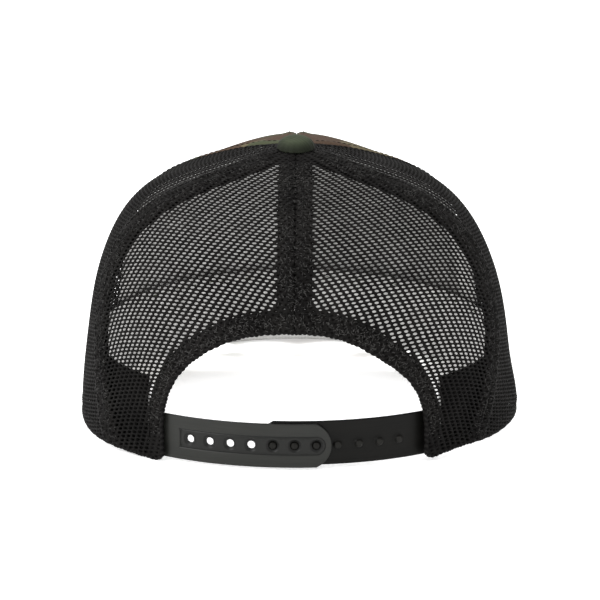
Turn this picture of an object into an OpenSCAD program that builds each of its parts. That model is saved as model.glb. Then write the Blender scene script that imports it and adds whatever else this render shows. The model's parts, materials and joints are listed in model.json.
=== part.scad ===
// Trucker mesh cap: six sewn crown panels, a curved visor and a two-piece snap strap.
// Every piece is drawn round the middle of the head opening, with the hem in the plane z = 0,
// +Y towards the visor and +Z up through the button. placed() then tips the whole cap forward
// or back until it stands on the sides of its visor and the two rear corners of its hem.

/* [Crown] */
// Half of the crown's width at the hem, over the panels
crown_half_w = 91; // [84:0.5:96]
// Distance from the middle of the opening back to the hem
crown_back = 94; // [88:0.5:100]
// Distance from the middle of the opening forward to the hem
crown_front = 106; // [98:0.5:112]
// Height of the crown above the hem
crown_h = 112; // [104:0.5:120]
// How far the button lies behind the middle of the opening
apex_back = 7.5; // [0:0.5:12]
// Squareness of the crown's profile: 2 is a dome, 4 is a box
bow = 3; // [2.6:0.1:3.4]
// Share of the height that the top falls to the sides like a roof
gable = 0.12; // [0.08:0.01:0.16]
// How much more the top falls at the back than at the front
gable_lean = 0.085; // [0:0.005:0.1]

/* [Panels] */
// Thickness of a mesh panel
mesh_t = 0.9; // [0.7:0.1:1.2]
// Thickness of a woven front panel
front_t = 1.0; // [0.8:0.1:1.2]
// Thickness of the stiffener behind a front panel
stiffener_t = 0.8; // [0.5:0.1:1.0]
// Where the seam between a front and a side panel meets the hem, in degrees from the right side
front_seam = 28; // [24:1:34]
// How far that seam leans forward towards the button, in degrees
front_seam_lean = 8; // [0:1:12]
// Where the seam between a side and a back panel meets the hem, in degrees behind the side
rear_seam = 36; // [32:1:40]
// How far that seam bows forward at half height, in degrees
rear_seam_bow = 20; // [10:1:24]
// Gap left between two pieces of cloth with the same outline
cloth_gap = 0.1; // [0.1:0.05:0.2]
// Gap left between two layers of cloth with different outlines
layer_gap = 0.35; // [0.35:0.05:0.5]

/* [Rear arch] */
// Height of the adjuster arch above the hem
arch_h = 57; // [45:1:65]
// Half of the arch's width at the hem, in degrees round the crown
arch_half = 35; // [30:1:38]
// Width of the folded band round the arch
band_w = 8; // [6:0.5:10]
// Thickness of the folded band
band_t = 0.9; // [0.6:0.1:1.2]

/* [Seam tapes and sweatband] */
// Width of the tape behind each seam
tape_w = 14; // [10:0.5:16]
// Thickness of a seam tape
tape_t = 0.7; // [0.5:0.1:0.9]
// Height of the sweatband
sweatband_h = 33; // [26:1:38]
// Thickness of the sweatband's woven backing
backing_t = 0.7; // [0.5:0.1:0.9]
// Thickness of the sweatband's soft facing
facing_t = 1.2; // [0.8:0.1:1.5]

/* [Visor] */
// Reach of the visor ahead of the hem
visor_len = 70; // [60:1:76]
// Fall of the visor from the hem, in degrees
visor_slope = 13; // [10:1:18]
// Squareness of the visor's outline: 2 is an ellipse
visor_square = 2.4; // [2.0:0.1:3.0]
// Thickness of the plastic board
board_t = 1.8; // [1.5:0.1:2.4]
// Thickness of the cloth over and under the board
visor_cloth_t = 0.7; // [0.5:0.1:1.0]

/* [Button] */
// Diameter of the covered button
button_d = 15.4; // [13:0.1:18]
// Height of the button's dome
button_h = 4.6; // [3.5:0.1:6]
// Diameter of the rivet's stem
rivet_d = 4.4; // [3:0.1:5]
// Backward tilt of the button, in degrees
button_tilt = 6; // [0:1:10]

/* [Snap strap] */
// Height of a strap half
strap_w = 18; // [16:0.5:20]
// Thickness of a strap half
strap_t = 1.3; // [1.0:0.1:1.6]
// Outer radius that the buckled strap is bent to
strap_r = 90; // [84:0.5:96]
// Height of the strap's lower edge above the hem
strap_rise = 2.7; // [2:0.1:4]
// How much higher the pegged half sits than the holed half
strap_step = 0.7; // [0:0.1:1]
// Number of holes, and of pegs
snap_count = 7; // [5:1:7]
// Number of pegs that are pushed into holes
snaps_in_use = 3; // [2:1:4]
// Distance from one hole to the next, along the strap
snap_pitch = 8.7; // [8:0.1:9]
// Diameter of a hole
hole_d = 3.8; // [3.4:0.1:4.4]
// Diameter of a peg
peg_d = 2.9; // [2.5:0.1:3]
// How far a peg stands out of its strap
peg_h = 1.6; // [1.5:0.1:1.7]
// Distance from the last hole or peg to the strap's tip
tip_len = 6; // [5:0.5:8]

/* [Hidden] */

// Colours
camo_green = "#6f7049";
camo_brown = "#5c4a38";
mesh_black = "#2a2828";
buckram_white = "#e4e2dc";
tape_black = "#222120";
facing_grey = "#c9c8c4";
board_grey = "#8b8c8a";
button_green = "#7d8a66";
steel_grey = "#a9abad";
strap_black = "#33332f";

// Layers of the crown, as depths below its outer face
stiffener_depth = front_t + cloth_gap;
rear_tape_depth = mesh_t + layer_gap;
front_tape_depth = stiffener_depth + stiffener_t + layer_gap;
backing_depth = front_tape_depth + tape_t + layer_gap;
facing_depth = backing_depth + backing_t + cloth_gap;

// The panels stop at this radius round the rivet
eyelet_r = 3.2;
top = rise_of_radius(eyelet_r / crown_half_w);
// Steps across and up a panel
across = 12;
upward = 18;
// A tape narrows towards the button so that its neighbours keep clear of it
tape_max_half = 26;
// The facing and backing stop short of the arch, beside the sewn ends of the strap
sweatband_stop = 7;
// Height that the sweatband and the arch band keep above the hem
hem_lift = 0.4;
// The same clearance as a rise, for the tapes
hem_foot = 0.004;

// The crown's profile runs from rise 0 at the hem to rise 1 at the button, in nearly even steps
function profile_angle(rise) = rise < 0.5
    ? 45 * pow(2 * rise, bow / 2)
    : 90 - 45 * pow(2 - 2 * rise, bow / 2);
function rise_of_radius(r) = 1 - 0.5 * pow((90 - acos(pow(r, bow / 2))) / 45, 2 / bow);
function crown_point(turn, rise, depth = 0) =
    let (angle = profile_angle(rise))
    let (r = pow(cos(angle), 2 / bow))
    let (h = pow(sin(angle), 2 / bow))
    let (roof = gable - gable_lean * sin(turn))
    let (reach = sin(turn) > 0 ? crown_front : crown_back)
    [
        (crown_half_w - depth) * cos(turn) * r,
        (reach - depth) * sin(turn) * r - apex_back * (1 - r),
        (crown_h - depth) * ((1 - roof) * h + roof * (1 - r))
    ];
// The rise at which the crown reaches a height, found by halving
function rise_at(turn, height, low = 0, high = 0.9, steps = 16) =
    let (middle = (low + high) / 2)
    steps == 0 ? middle
    : crown_point(turn, middle)[2] < height ? rise_at(turn, height, middle, high, steps - 1)
    : rise_at(turn, height, low, middle, steps - 1);
// Degrees round the crown that a width of cloth takes up at a rise
function turn_of(width, rise) =
    width / (crown_half_w * pow(cos(profile_angle(rise)), 2 / bow)) * 180 / PI;

// Seams, as turns round the crown; side is 1 on the right and -1 on the left
function mirrored(turn, side) = side > 0 ? turn : 180 - turn;
function front_side_seam(rise) = front_seam + front_seam_lean * rise;
function rear_side_seam(rise) = -rear_seam + rear_seam_bow * sin(180 * rise);

// The arch's edge and the outer edge of its band, from the right corner to the left one
arch_round_side = 2.2;
arch_round_top = 3;
function arch_turn(angle, half) =
    -90 + half * sign(cos(angle)) * pow(abs(cos(angle)), 2 / arch_round_side);
function arch_height(angle, height) = height * pow(sin(angle), 2 / arch_round_top);
function arch_rise_over(turn) =
    let (s = min(1, abs(turn + 90) / arch_half))
    let (height = arch_h * pow(1 - pow(s, arch_round_side), 1 / arch_round_top))
    height > 0.01 ? rise_at(turn, height) : 0;
band_half = arch_half + band_w / crown_back * 180 / PI;

// A closed sheet between an outer and an inner grid of points
module sheet(outer, inner) {
    columns = len(outer);
    rows = len(outer[0]);
    last = columns - 1;
    brim = rows - 1;
    function at(face, i, j) = (face * columns + i) * rows + j;
    points = [for (grid = [outer, inner]) for (column = grid) each column];
    skin = [
        for (i = [0 : last - 1]) for (j = [0 : brim - 1]) each [
            [at(0, i, j), at(0, i, j + 1), at(0, i + 1, j + 1)],
            [at(0, i, j), at(0, i + 1, j + 1), at(0, i + 1, j)],
            [at(1, i, j), at(1, i + 1, j + 1), at(1, i, j + 1)],
            [at(1, i, j), at(1, i + 1, j), at(1, i + 1, j + 1)]
        ]
    ];
    ends = [
        for (j = [0 : brim - 1]) each [
            [at(0, 0, j + 1), at(0, 0, j), at(1, 0, j)],
            [at(0, 0, j + 1), at(1, 0, j), at(1, 0, j + 1)],
            [at(0, last, j), at(0, last, j + 1), at(1, last, j + 1)],
            [at(0, last, j), at(1, last, j + 1), at(1, last, j)]
        ]
    ];
    edges = [
        for (i = [0 : last - 1]) each [
            [at(0, i, 0), at(0, i + 1, 0), at(1, i + 1, 0)],
            [at(0, i, 0), at(1, i + 1, 0), at(1, i, 0)],
            [at(0, i + 1, brim), at(0, i, brim), at(1, i, brim)],
            [at(0, i + 1, brim), at(1, i, brim), at(1, i + 1, brim)]
        ]
    ];
    polyhedron(points, concat(skin, ends, edges));
}

// A panel between two seams, given as a grid of [turn, rise] for the right side of the cap
module panel(grid, side, depth, thickness) {
    ordered = side > 0 ? grid : [for (i = [len(grid) - 1 : -1 : 0]) grid[i]];
    function face(d) = [
        for (column = ordered) [for (p = column) crown_point(mirrored(p[0], side), p[1], d)]
    ];
    sheet(face(depth), face(depth + thickness));
}

// Grids of the three panels on the right side
front_grid = [
    for (i = [0 : across]) [
        for (j = [0 : upward])
            let (rise = top * j / upward)
            let (inset = turn_of(cloth_gap, rise))
            let (from = front_side_seam(rise) + inset)
            [from + (90 - inset - from) * i / across, rise]
    ]
];
side_grid = [
    for (i = [0 : across]) [
        for (j = [0 : upward])
            let (rise = top * j / upward)
            let (inset = turn_of(cloth_gap, rise))
            let (from = rear_side_seam(rise) + inset)
            [from + (front_side_seam(rise) - inset - from) * i / across, rise]
    ]
];
// The back panel: columns over the arch stand on its edge, the others on the hem
arch_steps = [90, 82, 74, 66, 58, 50, 42, 34, 26, 18, 11, 5, 2];
beside_steps = 4;
over_arch = [
    for (angle = arch_steps) [
        for (j = [0 : upward])
            let (turn = arch_turn(angle, arch_half))
            let (foot = arch_rise_over(turn))
            let (rise = foot + (top - foot) * j / upward)
            [max(turn, -90 + turn_of(cloth_gap, rise)), rise]
    ]
];
beside_arch = [
    for (i = [0 : beside_steps]) [
        for (j = [0 : upward])
            let (rise = top * j / upward)
            let (arch_edge = -90 + arch_half)
            let (seam = rear_side_seam(rise) - turn_of(cloth_gap, rise))
            [arch_edge + (seam - arch_edge) * i / beside_steps, rise]
    ]
];
back_grid = concat(over_arch, beside_arch);

module front_panel(side) panel(front_grid, side, 0, front_t);
module side_panel(side) panel(side_grid, side, 0, mesh_t);
module back_panel(side) panel(back_grid, side, 0, mesh_t);
module front_stiffener(side) panel(front_grid, side, stiffener_depth, stiffener_t);

// A tape that follows a seam, given as a function of the rise, from its foot to the button
module seam_tape(seam, side, foot, depth) {
    steps = 18;
    grid = [
        for (edge = [-1, 0, 1]) [
            for (j = [0 : steps])
                let (rise = foot + (top - foot) * j / steps)
                let (half = min(turn_of(tape_w / 2, rise), tape_max_half))
                [seam(rise) + edge * half, rise]
        ]
    ];
    panel(grid, side, depth, tape_t);
}
module front_side_tape(side) {
    seam_tape(function(rise) front_side_seam(rise), side, hem_foot, front_tape_depth);
}
module rear_side_tape(side) {
    seam_tape(function(rise) rear_side_seam(rise), side, hem_foot, rear_tape_depth);
}

// A band of the crown between two heights
module hoop(from, to, steps, depth, thickness) {
    levels = [hem_lift, sweatband_h / 2, sweatband_h];
    grid = [
        for (i = [0 : steps]) [
            for (level = levels)
                let (turn = from + (to - from) * i / steps)
                [turn, rise_at(turn, level)]
        ]
    ];
    panel(grid, 1, depth, thickness);
}

// The folded band that finishes the edge of the arch
module arch_ring() {
    steps = 36;
    edge_gap = 0.15;
    grid = [
        for (i = [0 : steps])
            let (angle = 180 * i / steps)
            [
                for (out = [0, 0.5, 1])
                    let (half = arch_half + edge_gap + (band_half - arch_half) * out)
                    let (height = arch_h + edge_gap + band_w * out)
                    let (turn = arch_turn(angle, half))
                    [turn, rise_at(turn, max(hem_lift, arch_height(angle, height)))]
            ]
    ];
    reversed = [for (i = [steps : -1 : 0]) grid[i]];
    panel(reversed, 1, rear_tape_depth, band_t);
}

// The visor: a flat board bent to a cylinder, falling forward from the front of the hem
visor_gap = 0.2;
visor_end = front_seam - 1;
visor_end_point = crown_point(visor_end, 0);
visor_bend_r = pow(visor_end_point[0], 2)
    / (2 * tan(visor_slope) * (crown_front - visor_end_point[1]));
visor_overlap = 1.5;
function visor_bend(x, y) = -tan(visor_slope) * (y - crown_front) - x * x / (2 * visor_bend_r);
function visor_root(u) = crown_point(visor_end + (180 - 2 * visor_end) * u, 0, -visor_gap);
function visor_rim(u) =
    let (angle = 180 * u)
    let (wide = visor_end_point[0] + visor_overlap)
    let (long = crown_front + visor_len - visor_end_point[1] + visor_overlap)
    [
        wide * sign(cos(angle)) * pow(abs(cos(angle)), 2 / visor_square),
        visor_end_point[1] - visor_overlap + long * pow(sin(angle), 2 / visor_square)
    ];
function visor_point(u, out, level) =
    let (root = visor_root(u))
    let (rim = visor_rim(u))
    let (x = root[0] + (rim[0] - root[0]) * out)
    let (y = root[1] + (rim[1] - root[1]) * out)
    [x, y, visor_bend(x, y) - visor_bend(root[0], root[1]) * (1 - out) + level];
visor_top = 1.2;
board_top = visor_top - visor_cloth_t - cloth_gap;
under_top = board_top - board_t - cloth_gap;
visor_bottom = under_top - visor_cloth_t;

module visor_layer(high, thickness) {
    steps = 36;
    rows = 5;
    function face(level) = [
        for (i = [0 : steps]) [for (j = [0 : rows]) visor_point(i / steps, j / rows, level)]
    ];
    // Seen from above, the columns run right to left and the rows run outward
    sheet(face(high - thickness), face(high));
}

// Button, drawn on its own axis with the rim of its dome near z = 0
button_r = button_d / 2;
dome_r = (button_r * button_r + button_h * button_h) / (2 * button_h);
rim_gap = 0.1;
cover_t = 0.5;
shell_t = 0.5;
button_sink = 1;
plate_r = 5;
plate_z = 0.7;
plate_t = 0.6;
washer_r = 7;
washer_hole_r = rivet_d / 2 + 0.3;
washer_t = 0.8;
washer_z = -3.9;
clinch_r = 3.6;
clinch_t = 0.6;
clinch_z = washer_z - 0.1 - clinch_t;
module on_button() {
    translate([0, -apex_back, crown_h - button_sink]) rotate([button_tilt, 0, 0]) children();
}
module dome(outer_r, wall) {
    rotate_extrude($fn = 96) intersection() {
        translate([0, rim_gap]) square([button_r, button_h]);
        translate([0, button_h - dome_r]) difference() {
            circle(outer_r);
            circle(outer_r - wall);
        }
    }
}

// Strap: both halves are bent about one upright axis, the pegged one inside the holed one
strap_back = 0.5;
halves_gap = 0.3;
root_angle = 32.8;
sewn_angle = 40;
flex_angle = 0.35;
holed_r = strap_r - strap_t;
pegged_r = holed_r - halves_gap - strap_t;
snap_angle = snap_pitch / strap_r * 180 / PI;
tip_angle = (snaps_in_use - 1) / 2 * snap_angle + tip_len / strap_r * 180 / PI;
// The tip is a little flatter than a half circle, so it meets the straight edges at a corner
tip_round_r = strap_w / 2 + 0.6;
tip_round = tip_round_r / strap_r * 180 / PI;
snap_z = strap_rise + strap_w / 2;
peg_chamfer = 0.3;
peg_root = 0.4;
// side is 1 for the half that is sewn to the right of the cap and -1 for the left one
module strap_sector(side, from, to, r, z) {
    low = side > 0 ? from : -to;
    translate([0, -strap_back, 0]) rotate([0, 0, low - 90])
        rotate_extrude(angle = to - from, $fn = 180) translate([r, z]) square([strap_t, strap_w]);
}
module radial(side, angle, z) {
    translate([0, -strap_back, z]) rotate([0, 0, side * angle - 90]) rotate([0, 90, 0]) children();
}
module strap_half(side, r, z) {
    stencil_len = strap_r;
    intersection() {
        strap_sector(side, -tip_angle, root_angle - flex_angle, r, z);
        radial(side, tip_round - tip_angle, z + strap_w / 2)
            translate([0, 0, r - stencil_len / 2]) linear_extrude(stencil_len) {
                circle(tip_round_r, $fn = 96);
                translate([-strap_w, side > 0 ? 0 : -stencil_len]) square([2 * strap_w, stencil_len]);
            }
    }
}
module sewn_end(side, r, z) strap_sector(side, root_angle + flex_angle, sewn_angle, r, z);
function snap_place(i) = (i - (snaps_in_use - 1) / 2) * snap_angle;

// Rest: the cap tips until the visor's sides and the rear hem corners share one plane
rest_y = crown_point(arch_half - 90, 0)[1];
rim_steps = 48;
rest_pitch = max([
    for (i = [0 : rim_steps])
        let (p = visor_point(i / rim_steps, 1, visor_bottom))
        atan2(-p[2], p[1] - rest_y)
]);
function stood_y(p) = (p[1] - rest_y) * cos(rest_pitch) - p[2] * sin(rest_pitch);
front_reach = stood_y(visor_point(0.5, 1, visor_bottom));
arch_top = rise_at(-90, arch_h);
back_reach = min([for (i = [0 : 20]) stood_y(crown_point(-90, arch_top + i * 0.01))]);
middle_y = (front_reach + back_reach) / 2;
module placed() {
    translate([0, -middle_y, 0]) rotate([rest_pitch, 0, 0]) translate([0, -rest_y, 0]) children();
}

// Crown
module front_panel_left() color(camo_green) placed() front_panel(-1);
module front_panel_right() color(camo_brown) placed() front_panel(1);
module side_panel_left() color(mesh_black) placed() side_panel(-1);
module side_panel_right() color(mesh_black) placed() side_panel(1);
module back_panel_left() color(mesh_black) placed() back_panel(-1);
module back_panel_right() color(mesh_black) placed() back_panel(1);
module front_stiffener_left() color(buckram_white) placed() front_stiffener(-1);
module front_stiffener_right() color(buckram_white) placed() front_stiffener(1);

// Seam tapes and the band round the arch
module seam_tape_front() {
    color(tape_black) placed() seam_tape(function(rise) 90, 1, hem_foot, front_tape_depth);
}
module seam_tape_front_left() color(tape_black) placed() front_side_tape(-1);
module seam_tape_front_right() color(tape_black) placed() front_side_tape(1);
module seam_tape_rear_left() color(tape_black) placed() rear_side_tape(-1);
module seam_tape_rear_right() color(tape_black) placed() rear_side_tape(1);
module seam_tape_back() {
    foot = rise_at(-90, arch_h + band_w + 1);
    color(tape_black) placed() seam_tape(function(rise) -90, 1, foot, rear_tape_depth);
}
module arch_band() color(tape_black) placed() arch_ring();

// Sweatband: a woven backing against the crown and a soft facing against the head
module sweatband(depth, thickness) {
    stop = arch_half + sweatband_stop;
    hoop(stop - 90, 270 - stop, 48, depth, thickness);
}
module sweatband_backing() color(tape_black) placed() sweatband(backing_depth, backing_t);
module sweatband_facing() color(facing_grey) placed() sweatband(facing_depth, facing_t);

// Visor
module visor_board() color(board_grey) placed() visor_layer(board_top, board_t);
module visor_top_cover() color(camo_green) placed() visor_layer(visor_top, visor_cloth_t);
module visor_under_cover() color(camo_brown) placed() visor_layer(under_top, visor_cloth_t);

// Button
module button_cover() color(button_green) placed() on_button() dome(dome_r, cover_t);
module button_shell() {
    color(steel_grey) placed() on_button() dome(dome_r - cover_t - cloth_gap, shell_t);
}
module button_rivet() {
    color(steel_grey) placed() on_button() {
        translate([0, 0, plate_z]) cylinder(r = plate_r, h = plate_t, $fn = 64);
        translate([0, 0, clinch_z]) cylinder(d = rivet_d, h = plate_z - clinch_z + plate_t / 2, $fn = 48);
        translate([0, 0, clinch_z]) cylinder(r = clinch_r, h = clinch_t, $fn = 64);
    }
}
module button_washer() {
    color(steel_grey) placed() on_button() translate([0, 0, washer_z]) difference() {
        cylinder(r = washer_r, h = washer_t, $fn = 64);
        translate([0, 0, -1]) cylinder(r = washer_hole_r, h = washer_t + 2, $fn = 48);
    }
}

// Snap strap: the holed half is sewn to the left of the arch and the pegged half to the right
module strap_holed_half() {
    color(strap_black) placed() difference() {
        strap_half(-1, holed_r, strap_rise);
        for (i = [0 : snap_count - 1])
            radial(-1, snap_place(i), snap_z)
                translate([0, 0, holed_r - 1]) cylinder(d = hole_d, h = strap_t + 2, $fn = 48);
    }
}
module strap_holed_end() color(strap_black) placed() sewn_end(-1, holed_r, strap_rise);
module strap_pegged_half() {
    color(strap_black) placed() {
        strap_half(1, pegged_r, strap_rise + strap_step);
        for (i = [0 : snap_count - 1])
            radial(1, snap_place(i), snap_z) translate([0, 0, pegged_r + strap_t - peg_root]) {
                cylinder(d = peg_d, h = peg_h - peg_chamfer + peg_root, $fn = 48);
                translate([0, 0, peg_h - peg_chamfer + peg_root])
                    cylinder(d1 = peg_d, d2 = peg_d - 2 * peg_chamfer, h = peg_chamfer, $fn = 48);
            }
    }
}
module strap_pegged_end() {
    color(strap_black) placed() sewn_end(1, pegged_r, strap_rise + strap_step);
}

front_panel_left();
front_panel_right();
side_panel_left();
side_panel_right();
back_panel_left();
back_panel_right();
front_stiffener_left();
front_stiffener_right();
seam_tape_front();
seam_tape_front_left();
seam_tape_front_right();
seam_tape_rear_left();
seam_tape_rear_right();
seam_tape_back();
arch_band();
sweatband_backing();
sweatband_facing();
visor_board();
visor_top_cover();
visor_under_cover();
button_cover();
button_shell();
button_rivet();
button_washer();
strap_holed_half();
strap_holed_end();
strap_pegged_half();
strap_pegged_end();
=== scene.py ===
import json
import math

import bmesh
import bpy
import numpy as np
from mathutils import Matrix, Vector

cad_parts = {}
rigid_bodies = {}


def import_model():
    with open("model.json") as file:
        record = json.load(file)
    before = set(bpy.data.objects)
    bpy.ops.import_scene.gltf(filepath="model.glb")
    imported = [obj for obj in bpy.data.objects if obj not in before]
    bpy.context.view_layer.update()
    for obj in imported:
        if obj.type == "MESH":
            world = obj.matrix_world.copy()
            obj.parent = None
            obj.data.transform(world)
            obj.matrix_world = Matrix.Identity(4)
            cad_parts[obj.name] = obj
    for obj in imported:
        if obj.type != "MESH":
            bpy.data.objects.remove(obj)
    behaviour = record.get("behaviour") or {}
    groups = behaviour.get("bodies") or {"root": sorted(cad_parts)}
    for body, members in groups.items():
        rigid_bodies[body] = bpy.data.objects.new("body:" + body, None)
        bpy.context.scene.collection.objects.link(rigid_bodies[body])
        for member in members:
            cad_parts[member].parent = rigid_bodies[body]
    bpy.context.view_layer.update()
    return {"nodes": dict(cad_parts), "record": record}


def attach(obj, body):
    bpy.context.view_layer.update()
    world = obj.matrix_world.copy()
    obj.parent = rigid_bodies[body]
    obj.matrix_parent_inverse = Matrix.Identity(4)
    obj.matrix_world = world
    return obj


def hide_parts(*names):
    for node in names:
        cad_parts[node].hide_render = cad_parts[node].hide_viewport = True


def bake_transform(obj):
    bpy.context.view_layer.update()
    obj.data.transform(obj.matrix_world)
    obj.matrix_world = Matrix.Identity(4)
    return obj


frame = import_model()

# Every shape below is worked out in the cap's own frame, in millimetres and degrees: z = 0 is the hem,
# +Y is the visor, and a turn runs round the crown from 0 on the right through 90 in front.
# placed() then stands the cap in the row frame, in metres, from the record's own head opening.
HEAD_OPENING = next(m for m in frame["record"]["mounts"] if m["name"] == "head_opening")
CAP_ORIGIN = np.array(HEAD_OPENING["pos_m"])
CAP_UP = -np.array(HEAD_OPENING["axis"])
CAP_RIGHT = np.array([1.0, 0.0, 0.0])
CAP_AHEAD = np.cross(CAP_UP, CAP_RIGHT)

# Crown
HALF_W, BACK, FRONT, HEIGHT = 91.0, 94.0, 106.0, 112.0
APEX_BACK = 7.5
BOW = 3.0
GABLE, GABLE_LEAN = 0.12, 0.085
TOP = 0.979
MM_PER_DEGREE = math.radians(93.0)
CLOTH_UP = 160.0
SEAM_INSET = 0.1
MESH_T, FRONT_T, STIFFENER_T, TAPE_T = 0.9, 1.0, 0.8, 0.7
BACKING_T, FACING_T = 0.7, 1.2
CLOTH_GAP, LAYER_GAP = 0.1, 0.35
STIFFENER_DEPTH = FRONT_T + CLOTH_GAP
REAR_TAPE_DEPTH = MESH_T + LAYER_GAP
FRONT_TAPE_DEPTH = STIFFENER_DEPTH + STIFFENER_T + LAYER_GAP
BACKING_DEPTH = FRONT_TAPE_DEPTH + TAPE_T + LAYER_GAP
FACING_DEPTH = BACKING_DEPTH + BACKING_T + CLOTH_GAP

# Arch, tapes and sweatband
ARCH_H, ARCH_HALF = 57.0, 35.0
ARCH_SIDE, ARCH_TOP = 2.2, 3.0
CORNER_R = 4.0
BAND_W = 8.0
TAPE_W = 14.0
TAPE_MAX_HALF = 26.0
SWEATBAND_H = 33.0
SWEATBAND_STOP = 7.0
HEM_LIFT = 0.4

# Visor
VISOR_LEN, VISOR_SLOPE, VISOR_SQUARE = 70.0, 13.0, 2.4
VISOR_END = 27.0
VISOR_OVERLAP, VISOR_GAP = 1.5, 0.2
VISOR_TOP, BOARD_TOP, UNDER_TOP, VISOR_BOTTOM = 1.2, 0.4, -1.5, -2.2

# Button
BUTTON_R, BUTTON_H, BUTTON_BOW = 7.7, 4.5, 2.3
BUTTON_SINK, BUTTON_TILT = 1.0, 6.0

# Snap strap
STRAP_W, STRAP_T, STRAP_R = 18.0, 1.3, 90.0
STRAP_BACK = 0.5
STRAP_STEP = 0.7
HALVES_GAP = 0.3
SNAP_Z, SNAP_PITCH, SNAP_COUNT = 11.7, 8.7, 7
SEWN_ANGLE = 40.0
TIP_LEN, TIP_ROUND_R = 6.0, 9.6
PEG_R, PEG_H = 1.45, 1.6


# ---- the cap's frame and the camera

def placed(points):
    """Points of the cap's frame, in mm, as points of the row frame, in metres"""
    x, y, z = np.moveaxis(np.asarray(points, float) / 1000, -1, 0)
    return CAP_ORIGIN + x[..., None] * CAP_RIGHT + y[..., None] * CAP_AHEAD + z[..., None] * CAP_UP


def turned(direction):
    """A direction of the cap's frame in the row frame"""
    x, y, z = direction
    return x * CAP_RIGHT + y * CAP_AHEAD + z * CAP_UP


def join(*parts):
    """Coordinates, each given as an array, put together as points"""
    return np.stack(parts, -1)


def unit(vectors):
    return vectors / np.maximum(np.linalg.norm(vectors, axis=-1, keepdims=True), 1e-9)


def walked(line):
    """The distance walked along a line up to each of its points"""
    return np.concatenate([[0], np.cumsum(np.linalg.norm(np.diff(line, axis=0), axis=1))])


def add_camera():
    """Looks at the back of the cap, a little from above, from well away"""
    elevation, yaw = math.radians(15.6), math.radians(-0.3)
    distance, aim_z = 1184.5, 51.5
    off_right, off_down = 1.668, 5.71
    right = np.array([math.cos(yaw), -math.sin(yaw), 0])
    ahead = np.array([
        math.sin(yaw) * math.cos(elevation), math.cos(yaw) * math.cos(elevation), -math.sin(elevation)
    ])
    up = np.cross(right, ahead)
    eye = np.array([0, 0, aim_z]) - distance * ahead + off_right * right - off_down * up
    camera = bpy.data.objects.new("camera", bpy.data.cameras.new("camera"))
    bpy.context.scene.collection.objects.link(camera)
    camera.data.sensor_width = 36
    camera.data.lens = 168.7
    camera.data.clip_end = 50
    axes = Matrix([turned(right), turned(up), turned(-ahead)]).transposed().to_4x4()
    camera.matrix_world = Matrix.Translation(Vector(placed(eye))) @ axes
    bpy.context.scene.camera = camera


add_camera()


# ---- the crown as a surface

def profile_angle(rise):
    rise = np.clip(rise, 0, 1)
    low = 45 * (2 * rise) ** (BOW / 2)
    high = 90 - 45 * np.maximum(2 - 2 * rise, 0) ** (BOW / 2)
    return np.radians(np.where(rise < 0.5, low, high))


def ring_size(rise):
    """How wide the crown is at a rise, as a share of its width at the hem"""
    return np.maximum(np.cos(profile_angle(rise)), 1e-9) ** (2 / BOW)


def mm_at(rise):
    """How many mm round the crown one degree is at a rise"""
    return MM_PER_DEGREE * ring_size(rise)


def crown(turn, rise, depth=0.0):
    """Points of the crown at a depth below its outer face; rise runs from 0 at the hem to 1 on top"""
    turn, rise, depth = np.broadcast_arrays(np.asarray(turn, float), rise, depth)
    r = ring_size(rise)
    h = np.maximum(np.sin(profile_angle(rise)), 0) ** (2 / BOW)
    t = np.radians(turn)
    roof = GABLE - GABLE_LEAN * np.sin(t)
    reach = np.where(np.sin(t) > 0, FRONT, BACK)
    return join(
        (HALF_W - depth) * np.cos(t) * r,
        (reach - depth) * np.sin(t) * r - APEX_BACK * (1 - r),
        (HEIGHT - depth) * ((1 - roof) * h + roof * (1 - r)),
    )


def rise_at(turn, height):
    """The rise at which the crown reaches a height, found by halving"""
    turn, height = np.broadcast_arrays(np.asarray(turn, float), height)
    low, high = np.zeros(turn.shape), np.full(turn.shape, 0.9)
    for _ in range(24):
        middle = (low + high) / 2
        below = crown(turn, middle)[..., 2] < height
        low, high = np.where(below, middle, low), np.where(below, high, middle)
    return low


def crown_normal(turn, rise):
    step_t, step_r = 0.2, 0.002
    along = crown(turn + step_t, rise) - crown(turn - step_t, rise)
    upward = crown(turn, np.minimum(rise + step_r, 1)) - crown(turn, np.maximum(rise - step_r, 0))
    return unit(np.cross(along, upward))


def front_side_seam(rise):
    return 28 + 8 * rise


def rear_side_seam(rise):
    return -36 + 20 * np.sin(math.pi * np.asarray(rise))


def front_seam(rise):
    return 90 + 0 * np.asarray(rise)


def back_seam(rise):
    return -90 + 0 * np.asarray(rise)


SEAM_PUFFS = ((back_seam, 0.7), (rear_side_seam, 0.8), (front_side_seam, 0.4), (front_seam, 0.5))
SEAM_HALF = 7.0
SEAM_VALLEY, SEAM_VALLEY_W = 0.35, 0.9


def relief(turn, rise):
    """How far the cloth stands out beside the seams, over their folded edges, in mm"""
    turn = np.where(np.asarray(turn) < -90, np.asarray(turn) + 360, turn)
    right = np.where(turn <= 90, turn, 180 - turn)
    r = ring_size(rise)
    total = 0.0
    for seam, puff in SEAM_PUFFS:
        away = np.abs(right - seam(rise)) * MM_PER_DEGREE * r
        across = np.clip(away / SEAM_HALF, 0, 1)
        total = total + puff * np.sin(math.pi * across ** 0.8) ** 2
        total = total - SEAM_VALLEY * np.exp(-(away / SEAM_VALLEY_W) ** 2)
    return total * np.clip((r - 0.08) / 0.12, 0, 1)


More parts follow.
